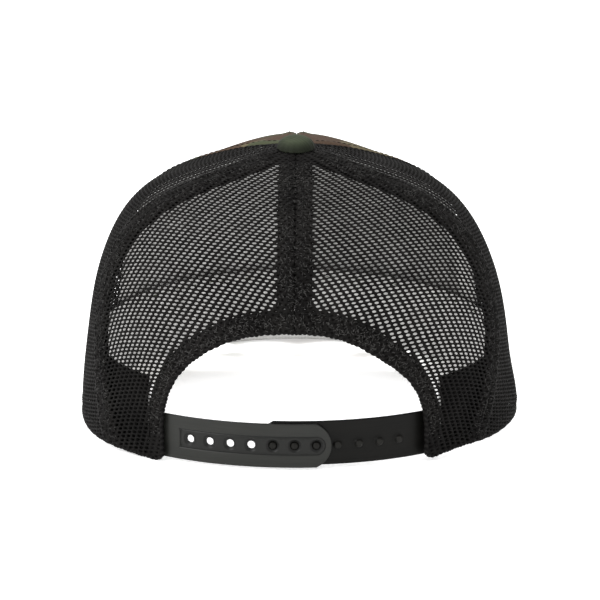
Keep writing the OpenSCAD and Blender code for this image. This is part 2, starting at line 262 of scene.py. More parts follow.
# The worn cap leans a little from its drawn shape: each pull has a centre, a reach along each axis and
# a move, all in mm, and fades smoothly with distance.
PULLS = (
    ((-92, -5, 38), (30, 60, 18), (1.9, 0, 0)),
    ((92, -5, 38), (30, 60, 18), (-0.6, 0, 0)),
    ((-67, 18, 87), (22, 30, 13), (-1.7, 0, 1.2)),
    ((66, 18, 87), (22, 30, 13), (1.0, 0, 0.7)),
    ((91, -8, 4), (14, 22, 10), (2.9, 0, 0)),
    ((-80, -45, 2), (15, 18, 14), (-1.4, -1.0, 0)),
    ((65, -64, 0), (14, 14, 12), (0, 0, 2.2)),
    ((0, 40, 108), (14, 30, 14), (0, 0, 1.5)),
    ((-38, 30, 103), (14, 22, 14), (0, 0, -1.5)),
    ((38, 30, 103), (14, 22, 14), (0, 0, -1.5)),
    ((0, -8, 112), (18, 18, 12), (0, 0, 2.1)),
    ((-51, -77, 30), (12, 16, 20), (-2.3, 1.5, 0)),
    ((51, -77, 30), (12, 16, 20), (1.2, 0.9, 0)),
    ((0, -94, 57), (26, 12, 8), (0, 0, -0.8)),
    ((37, -87, 46), (15, 14, 10), (-2.7, -0.6, -1.7)),
    ((-28, -90, 54), (10, 12, 8), (0.6, 0, 0.6)),
)


def worn(points):
    """Points of the drawn cap, pulled into the worn shape"""
    moved = points.copy()
    for centre, reach, move in PULLS:
        away = ((points - np.array(centre)) / np.array(reach)) ** 2
        moved = moved + np.exp(-away.sum(-1) / 2)[..., None] * np.array(move)
    return moved


# ---- making objects

def new_object(name, points, faces, look, nodes=(), body="root", cloth=None, merge=False):
    """A smooth-shaded piece from points in the cap's frame; cloth gives each point's place on the cloth"""
    mesh = bpy.data.meshes.new(name)
    points = points.reshape(-1, 3)
    points = worn(points) if body == "root" else points
    mesh.from_pydata(placed(points).tolist(), [], [f.tolist() for f in faces])
    if cloth is not None:
        place = mesh.attributes.new("cloth", "FLOAT_VECTOR", "POINT")
        place.data.foreach_set("vector", (cloth.reshape(-1, 3) / 1000).astype(np.float32).ravel())
    build = bmesh.new()
    build.from_mesh(mesh)
    if merge:
        bmesh.ops.remove_doubles(build, verts=build.verts, dist=1e-5)
    bmesh.ops.recalc_face_normals(build, faces=build.faces)
    build.to_mesh(mesh)
    build.free()
    mesh.polygons.foreach_set("use_smooth", [True] * len(mesh.polygons))
    mesh.materials.append(MATERIALS[look])
    piece = bpy.data.objects.new(name, mesh)
    bpy.context.scene.collection.objects.link(piece)
    if body:
        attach(piece, body)
    if nodes:
        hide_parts(*nodes)
    return piece


def sweep(loops, closed=False):
    """Quads of a solid swept through loops of points, whose ends are each closed by a strip"""
    count, size = loops.shape[:2]
    index = np.arange(count * size).reshape(count, size)
    this = index if closed else index[:-1]
    that = np.roll(index, -1, axis=0) if closed else index[1:]
    sides = join(this, that, np.roll(that, -1, 1), np.roll(this, -1, 1)).reshape(-1, 4)
    if closed:
        return sides
    p = np.arange(size // 2 - 1)
    ends = [join(e[p], e[p + 1], e[size - 2 - p], e[size - 1 - p]) for e in (index[0], index[-1])]
    return np.concatenate([sides, *ends])


def mirrored(points):
    return points * np.array([-1.0, 1.0, 1.0])


def cloth_place(turn, rise):
    """Where a point of the crown lies on the cloth it was cut from, in mm"""
    turn, rise = np.broadcast_arrays(turn, rise)
    return join(turn * MM_PER_DEGREE * ring_size(rise), rise * CLOTH_UP, np.zeros(rise.shape))


def wrapped(outer, over, inner, under):
    """Loops that run along the outer face, over the edge, back along the inner face and under"""
    return np.concatenate([outer, *over, inner[:, ::-1], under], axis=1)


def wrapped_cloth(place, over=1):
    """The places on the cloth that go with wrapped loops, with as many points over the edge"""
    return wrapped(place, [place[:, -1:]] * over, place, place[:, :1])


def crown_sheet(turn, rise, depth, thickness, standing):
    """Loops and cloth places of a sheet over a grid of turns and rises, with rounded upper and lower edges"""
    out = standing(turn, rise)
    outer = crown(turn, rise, depth - out)
    inner = crown(turn, rise, depth + thickness - out)
    middle = (outer + inner) / 2
    nose = 0.35 * thickness

    def edge(first, second):
        return (middle[:, first] + nose * unit(middle[:, first] - middle[:, second]))[:, None]

    loops = wrapped(outer, [edge(-1, -2)], inner, edge(0, 1))
    return loops, wrapped_cloth(cloth_place(turn, rise))


def between(low, high, columns, rows):
    """A grid of turns and rises between two seams"""
    rise = np.linspace(0.0, TOP, rows)[None, :]
    gap = SEAM_INSET / mm_at(rise)
    from_, to = low(rise) + gap, high(rise) - gap
    turn = from_ + (to - from_) * np.linspace(0, 1, columns)[:, None]
    return turn, np.broadcast_to(rise, turn.shape)


# ---- materials

class Shader:
    """A Principled material and short ways to add nodes to it"""

    def __init__(self, name, kind, roughness, **settings):
        self.material = bpy.data.materials.new(name)
        self.material.use_nodes = True
        self.material["class"] = kind
        self.tree = self.material.node_tree
        self.surface = self.tree.nodes["Principled BSDF"]
        self.set(self.surface, Roughness=roughness, **settings)

    @staticmethod
    def set(node, **values):
        for name, value in values.items():
            node.inputs[name.replace("_", " ")].default_value = value

    def add(self, kind, links=None, values=None, **settings):
        node = self.tree.nodes.new("ShaderNode" + kind)
        for name, value in settings.items():
            setattr(node, name, value)
        for key, value in (values or {}).items():
            node.inputs[key].default_value = value
        for key, socket in (links or {}).items():
            self.tree.links.new(socket, node.inputs[key])
        return node

    def link(self, socket, name):
        self.tree.links.new(socket, self.surface.inputs[name])

    def objects(self, scale=(1, 1, 1)):
        """The object's own coordinates, scaled"""
        place = self.add("TexCoord").outputs["Object"]
        return self.add("Mapping", {"Vector": place}, {"Scale": scale}).outputs[0]

    def cloth(self, scale=(1, 1, 1), turn=0.0):
        """Places on the cloth, scaled and turned"""
        place = self.add("Attribute", attribute_name="cloth").outputs["Vector"]
        return self.add(
            "Mapping", {"Vector": place}, {"Scale": scale, "Rotation": (0, 0, math.radians(turn))}
        ).outputs[0]

    def noise(self, place, scale, detail=2.0, rough=0.5, distort=0.0):
        return self.add(
            "TexNoise", {"Vector": place},
            {"Scale": scale, "Detail": detail, "Roughness": rough, "Distortion": distort},
        ).outputs["Fac"]

    def wave(self, place, scale, direction="X", profile="SIN", distort=0.0):
        return self.add(
            "TexWave", {"Vector": place}, {"Scale": scale, "Distortion": distort},
            bands_direction=direction, wave_profile=profile,
        ).outputs["Fac"]

    def give(self, socket, value):
        """Links a socket to another, or sets it to a plain number or colour"""
        if isinstance(value, bpy.types.NodeSocket):
            self.tree.links.new(value, socket)
        else:
            socket.default_value = value

    def math(self, kind, first, second):
        node = self.add("Math", operation=kind)
        self.give(node.inputs[0], first)
        self.give(node.inputs[1], second)
        return node.outputs[0]

    def times(self, first, second):
        return self.math("MULTIPLY", first, second)

    def plus(self, first, second):
        return self.math("ADD", first, second)

    def ramp(self, factor, stops, interpolation="LINEAR"):
        node = self.add("ValToRGB", {"Fac": factor})
        node.color_ramp.interpolation = interpolation
        while len(node.color_ramp.elements) < len(stops):
            node.color_ramp.elements.new(0.5)
        for element, (place, colour) in zip(node.color_ramp.elements, stops):
            element.position = place
            element.color = (*colour, 1)
        return node.outputs["Color"]

    def paint(self, factor, *stops):
        """The base colour, ramped by a factor"""
        self.link(self.ramp(factor, stops), "Base Color")

    def mix(self, factor, first, second, kind="MIX"):
        """Two colours mixed; the colour sockets of a Mix node are known only by number"""
        node = self.add("Mix", data_type="RGBA", blend_type=kind)
        for number, value in ((0, factor), (6, first), (7, second)):
            self.give(node.inputs[number], value)
        return node.outputs[2]

    def bump(self, height, strength, distance):
        node = self.add("Bump", {"Height": height}, {"Strength": strength, "Distance": distance})
        self.link(node.outputs[0], "Normal")


def waves(pitch):
    """The scale of a wave texture on which threads lie at a pitch in mm"""
    return 1000 / pitch / 20 * math.pi


def knit_material(name, dark, light):
    """Matt polyester knit yarn: fine filaments and a slight change of shade from place to place"""
    s = Shader(name, "fabric", 0.6, Specular_IOR_Level=0.04)
    place = s.objects()
    filaments = s.noise(place, 2600, 2)
    patches = s.noise(place, 60, 2)
    shade = s.times(filaments, patches)
    s.paint(shade, (0.12, dark), (0.42, light))
    s.bump(filaments, 0.5, 0.00012)
    return s.material


def fold_material(name, dark, light):
    """The same yarn where it is folded and overlocked: slanting loops along the edge"""
    s = Shader(name, "fabric", 0.6, Specular_IOR_Level=0.04)
    filaments = s.noise(s.objects(), 2600, 2)
    loops = s.wave(s.cloth(turn=38), waves(0.95), "X", distort=1.2)
    s.paint(s.times(filaments, loops), (0.05, dark), (0.45, light))
    s.bump(s.plus(loops, s.times(filaments, 0.4)), 1.0, 0.0003)
    return s.material


def woven_material(name, dark, light, pitch, turn=45.0, shine=0.05, rough=0.8):
    """Plain woven cloth: two crossing sets of threads at a pitch in mm, with uneven yarn"""
    s = Shader(name, "fabric", rough, Specular_IOR_Level=shine)
    place = s.cloth(turn=turn)
    warp = s.wave(place, waves(pitch), "X", distort=0.6)
    weft = s.wave(place, waves(pitch), "Y", distort=0.6)
    threads = s.times(warp, weft)
    yarn = s.noise(s.cloth(turn=turn), 1500, 3)
    height = s.plus(threads, s.times(yarn, 0.7))
    shade = s.plus(s.times(threads, 0.35), s.noise(place, 90, 4))
    s.paint(shade, (0.35, dark), (0.8, light))
    s.bump(height, 0.6, 0.00015)
    return s.material


CAMO_TAN, CAMO_GREEN = (0.125, 0.105, 0.062), (0.060, 0.068, 0.038)
CAMO_BROWN, CAMO_BLACK = (0.068, 0.043, 0.028), (0.010, 0.010, 0.009)
CAMO_SHADE = (0.45, 0.45, 0.42, 1)


def camo_material(name, bolt):
    """Woodland blotches in four colours on a fine twill; bolt moves the print between pieces"""
    s = Shader(name, "fabric", 0.78, Specular_IOR_Level=0.07)
    base = s.cloth()
    step = {"Location": (0.31 * bolt, 0.17 * bolt, 0.07 * bolt)}
    shift = s.add("Mapping", {"Vector": base}, step).outputs[0]
    # the blotches' edges wander
    wander = s.add("TexNoise", {"Vector": shift}, {"Scale": 120.0, "Detail": 3.0}).outputs["Color"]
    wobble = s.add("VectorMath", {0: wander}, {"Scale": 0.012}, operation="SCALE").outputs[0]
    ground = s.add("VectorMath", {0: shift, 1: wobble}, operation="ADD").outputs[0]
    blotches = s.noise(ground, 15, 1.2, distort=0.3)
    colour = s.ramp(blotches, [(0.0, CAMO_TAN), (0.47, CAMO_GREEN)], "CONSTANT")
    for index, (paint, edge, size) in enumerate(((CAMO_BROWN, 0.52, 21), (CAMO_BLACK, 0.585, 27))):
        move = {"Location": (0.4 + index, 0.9 * index, 0.3)}
        moved = s.add("Mapping", {"Vector": ground}, move).outputs[0]
        blotches = s.noise(moved, size, 1.2, distort=0.5)
        mask = s.ramp(blotches, [(0, (0, 0, 0)), (edge, (1, 1, 1))], "CONSTANT")
        colour = s.mix(mask, colour, (*paint, 1))
    twill = s.wave(s.cloth(turn=63), waves(0.55), "X", distort=0.8)
    yarn = s.noise(base, 1800, 3)
    worn_threads = s.plus(s.times(yarn, 0.35), s.times(twill, 0.25))
    s.link(s.mix(worn_threads, colour, CAMO_SHADE, "MULTIPLY"), "Base Color")
    s.bump(s.plus(twill, s.times(yarn, 0.8)), 0.5, 0.00012)
    return s.material


def button_material():
    s = Shader("button_cloth", "fabric", 0.75, Specular_IOR_Level=0.15)
    place = s.objects()
    yarn = s.noise(place, 1800, 3)
    twill = s.wave(s.objects((1, 1, 0.4)), waves(0.5), "DIAGONAL", distort=0.7)
    blotch = s.noise(place, 90, 2)
    cloth = s.ramp(blotch, [(0.3, (0.026, 0.034, 0.017)), (0.7, (0.043, 0.052, 0.030))])
    # painted shade: the cloth darkens towards the button's rim, by each point's share of its radius
    rim = s.add("SeparateXYZ", {"Vector": s.cloth()}).outputs["X"]
    rim_shade = s.ramp(s.times(rim, 1000.0), [(0.6, (1, 1, 1)), (0.97, (0.3, 0.3, 0.3))])
    s.link(s.mix(1.0, cloth, rim_shade, "MULTIPLY"), "Base Color")
    s.bump(s.plus(twill, yarn), 0.5, 0.00012)
    return s.material


def thread_material(name, dark, light):
    s = Shader(name, "fabric", 0.6, Specular_IOR_Level=0.06)
    strands = s.noise(s.objects(), 3500, 2)
    s.paint(strands, (0.3, dark), (0.7, light))
    s.bump(strands, 0.4, 0.0001)
    return s.material


def strap_material(name, dark, light, shine):
    """Soft moulded plastic with faint flow lines along the strap"""
    s = Shader(name, "matte_plastic", 0.42, Specular_IOR_Level=shine)
    lines = s.noise(s.cloth((0.03, 1, 1)), 2200, 3, 0.6)
    grain = s.noise(s.objects(), 900, 4, 0.6)
    smears = s.noise(s.cloth((0.25, 1, 1)), 120, 3)
    plain = s.ramp(
        s.plus(s.times(lines, 0.5), s.times(smears, 0.5)),
        [(0.35, dark), (0.65, light)],
    )
    # painted shade in the holes, the groove and the channel, and a painted highlight on the pegs' tips,
    # ramped by the height above the strap's face, from a hole's foot to a peg's tip
    level = s.add("SeparateXYZ", {"Vector": s.cloth()}).outputs["Z"]
    level = s.plus(s.times(level, 250.0), 0.5)
    shade_and_highlight_greys = ((0.32, 0.12), (0.46, 0.16), (0.5, 0.5), (0.75, 0.5), (0.85, 1))
    recess_shade_and_tip_highlight = s.ramp(level, [(place, (grey,) * 3) for place, grey in shade_and_highlight_greys])
    s.link(s.mix(1.0, plain, recess_shade_and_tip_highlight, "MULTIPLY"), "Base Color")
    rough = s.plus(s.times(smears, 0.25), 0.3)
    s.link(rough, "Roughness")
    height = s.plus(s.times(lines, 0.6), s.times(grain, 0.25))
    s.bump(height, 0.35, 0.00012)
    return s.material


def steel_material():
    s = Shader("steel", "brushed_steel", 0.35, Metallic=1.0)
    brushed = s.noise(s.objects((1, 12, 1)), 900, 4)
    s.paint(brushed, (0.3, (0.42, 0.42, 0.43)), (0.7, (0.62, 0.62, 0.63)))
    s.link(s.plus(s.times(brushed, 0.3), 0.22), "Roughness")
    s.bump(brushed, 0.2, 0.00003)
    return s.material


def board_material():
    s = Shader("visor_plastic", "matte_plastic", 0.5)
    flow = s.noise(s.objects(), 160, 5, 0.6)
    s.paint(flow, (0.3, (0.16, 0.165, 0.16)), (0.7, (0.23, 0.235, 0.23)))
    s.bump(flow, 0.25, 0.0002)
    return s.material


MATERIALS = {
    "knit": knit_material("mesh_knit", (0.0035, 0.0032, 0.0031), (0.0105, 0.0098, 0.0092)),
    # The side panels' yarn is the back panels' black yarn, painted lighter: a painted sheen for the cloth
    # seen at a grazing angle and for light through its holes
    "side_knit_painted_sheen": knit_material("side_mesh_knit_painted_sheen", (0.005, 0.0047, 0.0044), (0.017, 0.0163, 0.0157)),
    "fold": fold_material("mesh_fold", (0.0032, 0.003, 0.0029), (0.0105, 0.0098, 0.0095)),
    "tape": woven_material("tape_cloth", (0.0035, 0.0032, 0.003), (0.008, 0.0074, 0.007), 0.7),
    "pale_tape": woven_material(
        "pale_tape_cloth", (0.40, 0.395, 0.385), (0.52, 0.515, 0.505),
        0.7, 45.0, 0.3
    ),
    "backing": woven_material("backing_cloth", (0.0035, 0.0033, 0.0032), (0.009, 0.0084, 0.008), 0.8),
    "facing": woven_material(
        "sweatband_cloth", (0.40, 0.395, 0.387), (0.53, 0.525, 0.517),
        0.8, 0.0, 0.3, 0.9
    ),
    # The two stiffeners are one buckram; the right copy is painted darker, as painted shade inside the right
    # of the crown
    "buckram_left": woven_material(
        "buckram_left", (0.38, 0.377, 0.37), (0.50, 0.497, 0.49),
        1.6, 0.0, 0.3
    ),
    "buckram_right": woven_material(
        "buckram_right", (0.27, 0.268, 0.262), (0.37, 0.367, 0.36),
        1.6, 0.0, 0.3
    ),
    "camo_left": camo_material("camo_cloth_left", 5.0),
    "camo_right": camo_material("camo_cloth_right", 9.0),
    "camo_visor": camo_material("camo_cloth_visor", 3.0),
    "camo_under": camo_material("camo_cloth_under", 4.0),
    "thread": thread_material("black_thread", (0.0035, 0.0033, 0.0032), (0.0095, 0.009, 0.0088)),
    # the loose yarn is the cap's black yarn, coloured grey as a painted glint
    "yarn_glint": thread_material("painted_glint_thread", (0.016, 0.0155, 0.015), (0.085, 0.083, 0.080)),
    "brown_thread": thread_material("brown_thread", (0.030, 0.024, 0.017), (0.055, 0.045, 0.033)),
    "green_thread": thread_material("green_thread", (0.045, 0.055, 0.03), (0.09, 0.10, 0.06)),
    "button": button_material(),
    # The two strap halves are one plastic; the left copy is painted lighter and shinier and the right copy
    # darker, as painted light and painted shade
    "strap_painted_lit": strap_material(
        "strap_plastic_painted_lit", (0.022, 0.023, 0.0198), (0.034, 0.035, 0.0304), 0.22
    ),
    "strap_painted_shade": strap_material(
        "strap_plastic_painted_shade", (0.0065, 0.0064, 0.0056), (0.0125, 0.012, 0.0105), 0.09
    ),
    "steel": steel_material(),
    "board": board_material(),
}


# ---- the edge of the mesh: arch and hem

def arch_ring(angle, out=0.0):
    """Turn and height of the arch's edge, or of a line a few mm outside it"""
    a = np.radians(angle)
    half = ARCH_HALF + np.degrees(out / BACK)
    turn = -90 + half * np.sign(np.cos(a)) * np.abs(np.cos(a)) ** (2 / ARCH_SIDE)
    return turn, (ARCH_H + out) * np.maximum(np.sin(a), 0) ** (2 / ARCH_TOP)


def arch_distance(turn, height):
    """Roughly how far a point lies outside the arch, in mm"""
    s = np.abs(turn + 90) / ARCH_HALF
    t = np.maximum(height, 0) / ARCH_H
    value = s ** ARCH_SIDE + t ** ARCH_TOP - 1
    slope_s = ARCH_SIDE * np.maximum(s, 1e-6) ** (ARCH_SIDE - 1) / (ARCH_HALF * MM_PER_DEGREE)
    slope_t = ARCH_TOP * np.maximum(t, 1e-6) ** (ARCH_TOP - 1) / ARCH_H
    return value / np.maximum(np.hypot(slope_s, slope_t), 1e-6)


def outside_arch(turn, height):
    """Moves points that lie inside the arch straight out from the middle of its foot to its edge"""
    s = np.abs(turn + 90) / ARCH_HALF
    t = np.maximum(height, 0) / ARCH_H
    low, high = np.ones(s.shape), np.full(s.shape, 3.0)
    inside = s ** ARCH_SIDE + t ** ARCH_TOP < 1
    for _ in range(20):
        k = (low + high) / 2
        short = (k * s) ** ARCH_SIDE + (k * t) ** ARCH_TOP < 1
        low, high = np.where(short, k, low), np.where(short, high, k)
    grown = np.where(inside, low, 1)
    return -90 + (turn + 90) * grown, height * grown


def round_corner(turn, height):
    """Keeps points out of the rounded corner where the arch meets the hem"""
    x = (turn + 90 - ARCH_HALF) * MM_PER_DEGREE - CORNER_R
    y = height - CORNER_R
    far = np.hypot(x, y)
    cut = (x < 0) & (y < 0) & (far > CORNER_R)
    scale = np.where(cut, CORNER_R / np.maximum(far, 1e-9), 1)
    return (
        np.where(cut, -90 + ARCH_HALF + (x * scale + CORNER_R) / MM_PER_DEGREE, turn),
        np.where(cut, y * scale + CORNER_R, height),
    )


def edge_path(angles, hem_turns):
    """Turns, heights and outward directions along the right half of the mesh's lower edge, from the arch's
    top down to the rounded corner and along the hem; directions are (along the hem, upward) in mm"""
    turn, height = arch_ring(angles)
    keep = height > CORNER_R
    turn, height = turn[keep], height[keep]
    step = np.radians(np.linspace(180, 270, 8))
    corner_turn = -90 + ARCH_HALF + CORNER_R * (1 + np.cos(step)) / MM_PER_DEGREE
    corner_height = CORNER_R * (1 + np.sin(step))
    turn = np.concatenate([turn, corner_turn, hem_turns])
    height = np.concatenate([height, corner_height, np.zeros(len(hem_turns))])
    size = ring_size(rise_at(turn, height))
    x, y = turn * MM_PER_DEGREE * size, height
    dx, dy = np.gradient(x), np.gradient(y)
    length = np.hypot(dx, dy)
    return turn, height, join(-dy / length, dx / length), size


def edge_loops(turn, height, away, size, profile, bumps=None):
    """Loops of a band along the edge; the profile's points are (out from the edge, depth)"""
    out, depth = np.array(profile).T
    reach = out[None, :] * np.ones((len(turn), 1))
    if bumps is not None:
        reach = reach - bumps[:, None] * np.clip(1 - out / 1.2, 0, 1)[None, :]
    t = turn[:, None] + away[:, :1] * reach / (MM_PER_DEGREE * size[:, None])
    z = np.maximum(height[:, None] + away[:, 1:] * reach, 0.02)
    rise = rise_at(t, z)
    below = np.minimum(height[:, None] + away[:, 1:] * reach, 0)
    points = crown(t, rise, depth[None, :])
    points[..., 2] += below
    return points


# The roll of a folded edge: (out from the edge, depth)
EDGE_ROLL = [
    (0.8, 0.08), (0.45, -0.12), (0.05, -0.02), (-0.2, 0.35), (-0.25, 0.85), (-0.12, 1.45), (0.4, 1.95),
]


def band_profile(width):
    """A rolled edge and a flat leg behind the mesh"""
    leg = np.linspace(1.4, width, 8)
    front = [(w, 1.3) for w in leg[::-1]]
    back = [(w, 2.0) for w in leg]
    return front + EDGE_ROLL + [(1.0, 2.0)] + back


HEM_BAND_W = 6.0
EDGE_STEP = 0.45
OVERLOCK_PITCH, OVERLOCK_DEEP = 1.9, 0.38


def add_edges():
    """The folded bands along the arch and along the hem"""
    angles = np.degrees(np.linspace(math.pi / 2, 0, 190))
    far_turn = 90.0
    count = int((far_turn + 90 - ARCH_HALF) * MM_PER_DEGREE / 0.6)
    hem = np.linspace(-90 + ARCH_HALF + CORNER_R / MM_PER_DEGREE, far_turn, count)[1:]
    turn, height, away, size = edge_path(angles, hem)
    # even steps along the edge
    x = turn * MM_PER_DEGREE * size
    along = np.concatenate([[0], np.cumsum(np.hypot(np.diff(x), np.diff(height)))])
    even = np.linspace(0, along[-1], int(along[-1] / EDGE_STEP))
    turn, height, size = (np.interp(even, along, v) for v in (turn, height, size))
    away = join(*[np.interp(even, along, away[:, k]) for k in (0, 1)])
    away = unit(away)
    loops = OVERLOCK_DEEP * np.abs(np.sin(math.pi * even / OVERLOCK_PITCH + 1.1 * np.sin(even / 3.1)))
    loops = loops + 0.10 * np.sin(2 * math.pi * even / 7.3 + 1)
    corner = int(np.argmax(height <= 0.001))
    for name, part, width, slot, nodes in (
        ("arch_band", slice(0, corner + 4), BAND_W, "tape", ("arch_band",)),
        ("hem_band", slice(corner, None), HEM_BAND_W, "mesh", ()),
    ):
        profile = band_profile(width)
        points = edge_loops(turn[part], height[part], away[part], size[part], profile, loops[part])
        out = np.array(profile)[:, 0]
        cloth = np.stack(np.broadcast_arrays(even[part][:, None], out[None, :], 7.0), -1)
        if name == "arch_band":
            whole = np.concatenate([mirrored(points)[::-1], points[1:]])
            places = np.concatenate([cloth[::-1], cloth[1:]])
        else:
            whole = np.concatenate([points, mirrored(points)[::-1][1:]])
            places = np.concatenate([cloth, cloth[::-1][1:]])
        new_object(name, whole, sweep(whole), "fold", nodes, cloth=places)


# ---- knitted mesh panels

# Ribs of the knit per mm round the crown and per mm up it, then courses in the same way, with the bow of
# a course across the panel and the gathering of courses towards the top
SIDE_WEAVE = {"ribs": (0.35, 0.0), "courses": (0.0, 0.6), "bow": 0.0, "gather": 0.0, "hole": (0.70, 0.40)}
BACK_WEAVE = {
    "ribs": (0.328, 0.123), "courses": (-0.12, 0.586), "bow": 0.0022, "gather": 0.00025, "hole": (0.86, 0.5)
}
RIB_PITCH, COURSE = 2.85, 1.67
WEAVE_MIDDLE = 80.0
HOLE_TILT = -0.12
SEAM_COVER, ARCH_COVER, COVERED_HOLE = 7.2, 7.4, 0.22
RIB_H, RUNG_H = 0.36, 0.22
# How far the knit strays from its pattern: ribs and courses in pitches, loops and holes as shares
RIB_WANDER, COURSE_WANDER, STITCH_SWELL = 0.010, 0.015, 0.18
DOUBLED_UNEVEN, LEAST_H = 0.13, 0.08
HOLE_JITTER, HOLE_WIDE_SPREAD, HOLE_TALL_SPREAD = 0.015, 0.04, 0.07
BACK_SEED, SIDE_SEED = 11, 21
MESH_MIDDLE = 0.45
CELL_RING = np.array([
    (1, -2), (1, -1), (1, 0), (1, 1), (1, 2), (0, 2), (-1, 2), (-1, 1), (-1, 0), (-1, -1), (-1, -2), (0, -2)
])
CELL_ANGLES = np.radians([-48, -24, 0, 24, 48, 90, 132, 156, 180, 204, 228, 270])


class PanelMap:
    """Lays flat knitted cloth over a panel, counted in ribs and courses from the panel's middle"""

    def __init__(self, middle, low, high, weave, arch):
        self.middle, self.low, self.high, self.arch, self.weave = middle, low, high, arch, weave
        self.rise = np.linspace(0, 1, 400)
        spine = crown(middle, self.rise)
        self.along = walked(spine)

    def lay(self, rib, course):
        """Turn, rise and distance up the crown of a place on the cloth"""
        (rib_s, rib_w), (course_s, course_w) = self.weave["ribs"], self.weave["courses"]
        bow, gather = self.weave["bow"], self.weave["gather"]
        lean = rib_w / rib_s
        w = course / course_w
        for _ in range(6):
            s = rib / rib_s - lean * w
            miss = course_s * s + course_w * w + bow * s * s + gather * w * w - course
            w = w - miss / (course_w - course_s * lean - 2 * bow * s * lean + 2 * gather * w)
        s = rib / rib_s - lean * w
        w = w + WEAVE_MIDDLE
        rise = np.interp(w, self.along, self.rise)
        turn = self.middle + s / (MM_PER_DEGREE * np.maximum(ring_size(rise), 0.02))
        return turn, rise, w

    def margins(self, turn, rise):
        """Distances in mm inside each of the two seams and outside the arch"""
        mm = mm_at(rise)
        low, high = (turn - self.low(rise)) * mm, (self.high(rise) - turn) * mm
        arch = arch_distance(turn, crown(turn, rise)[..., 2]) if self.arch else np.full(low.shape, 99.0)
        return low, high, arch

    def openness(self, turn, rise):
        """1 where the cloth is single, falling to 0 where a seam or the arch's fold lies behind it"""
        low, high, arch = self.margins(turn, rise)
        seam = low if not self.arch else np.minimum(low, high)
        least = np.minimum(seam - SEAM_COVER, arch - ARCH_COVER)
        return np.clip(least / 1.0 + 0.5, 0, 1)

    def trim(self, turn, rise):
        """Moves points that stick out of the panel back to its edge"""
        gap = 0.05 / mm_at(rise)
        turn = np.clip(turn, self.low(rise) + gap, self.high(rise) - gap)
        if self.arch:
            height = crown(turn, rise)[..., 2]
            turn, height = round_corner(*outside_arch(turn, height))
            moved = rise_at(turn, height)
            rise = np.where(rise < 0.85, moved, rise)
        return turn, np.minimum(rise, TOP)


def add_knit_panel(name, node, panel, side, seed):
    """One mesh panel: every hole of the knit is real, between ribs that stand proud of the rungs"""
    i, j = np.meshgrid(np.arange(-45, 46), np.arange(-75, 76), indexing="ij")
    a0, b0 = 2 * i, 4 * j + 2 * (i % 2)
    turn, rise, w = panel.lay(a0 / 2, b0 / 4)
    end = panel.along[int(TOP * 399)]
    least = np.minimum.reduce(panel.margins(turn, rise))
    keep = (least > -0.5 * RIB_PITCH) & (w > -0.4 * COURSE) & (w < end)
    a0, b0 = a0[keep], b0[keep]
    opened = COVERED_HOLE + (1 - COVERED_HOLE) * panel.openness(turn[keep], rise[keep])
    count = len(a0)

    keys = join(a0[:, None] + CELL_RING[:, 0], b0[:, None] + CELL_RING[:, 1]).reshape(-1, 2)
    shared, index = np.unique(keys, axis=0, return_inverse=True)
    ring = index.reshape(count, 12)
    rng = np.random.default_rng(seed)
    # the yarn wanders a little, in ribs and in courses
    drift = 0.02 * np.sin(0.35 * shared[:, 1] + 0.9 * shared[:, 0]) + rng.normal(0, RIB_WANDER, len(shared))
    a = shared[:, 0] / 2 + drift
    b = shared[:, 1] / 4 + rng.normal(0, COURSE_WANDER, len(shared))
    on_rib = shared[:, 0] % 2 != 0
    stitch = 1 + STITCH_SWELL * np.cos(math.pi * shared[:, 1] / 2)
    height = np.where(on_rib, RIB_H * stitch, RUNG_H)
    # where the cloth is doubled its loops lie unevenly
    turn, rise, _ = panel.lay(a, b)
    doubled = 1 - panel.openness(turn, rise)
    height = height + DOUBLED_UNEVEN * doubled * rng.normal(0, 1, len(shared)).clip(-2, 1.2)
    height = np.maximum(height, LEAST_H)

    hole_across, hole_along = panel.weave["hole"]
    jitter = rng.normal(0, HOLE_JITTER, (2, count))
    wide = hole_across / RIB_PITCH * opened * (1 + rng.normal(0, HOLE_WIDE_SPREAD, count))
    tall = hole_along / COURSE * opened * (1 + rng.normal(0, HOLE_TALL_SPREAD, count))
    hole_a = (a0 / 2 + jitter[0])[:, None] + wide[:, None] * np.cos(CELL_ANGLES)
    hole_b = (b0 / 4 + jitter[1])[:, None] + tall[:, None] * np.sin(CELL_ANGLES)
    hole_b = hole_b + HOLE_TILT * np.cos(CELL_ANGLES)

    def laid(across, along, depth):
        t, r, _ = panel.lay(across, along)
        t, r = panel.trim(t, r)
        return crown(t, r, MESH_MIDDLE + depth - relief(t, r))

    points = np.concatenate([
        laid(a, b, -height), laid(a, b, height), laid(hole_a, hole_b, 0.0).reshape(-1, 3)
    ])
    inner = ring + len(shared)
    hole = 2 * len(shared) + np.arange(count * 12).reshape(count, 12)
    after = np.roll(np.arange(12), -1)
    front = join(ring, ring[:, after], hole[:, after], hole).reshape(-1, 4)
    behind = join(inner, hole, hole[:, after], inner[:, after]).reshape(-1, 4)
    sides = join(ring, ring[:, after]).reshape(-1, 2)
    _, first, uses = np.unique(np.sort(sides, axis=1), axis=0, return_index=True, return_counts=True)
    rim = sides[first[uses == 1]]
    walls = join(rim[:, 1], rim[:, 0], rim[:, 0] + len(shared), rim[:, 1] + len(shared))
    faces = np.concatenate([front, behind, walls])
    if side < 0:
        points = mirrored(points)
        faces = faces[:, ::-1]
    # cells cut down to nothing at the seams are left out
    corners = points[faces]
    area = np.linalg.norm(np.cross(corners[:, 2] - corners[:, 0], corners[:, 3] - corners[:, 1]), axis=1)
    # the side panels take the lighter copy of the yarn, a painted sheen
    paint = "knit" if panel.arch else "side_knit_painted_sheen"
    new_object(name, points, faces[area > 1e-4], paint, (node,))


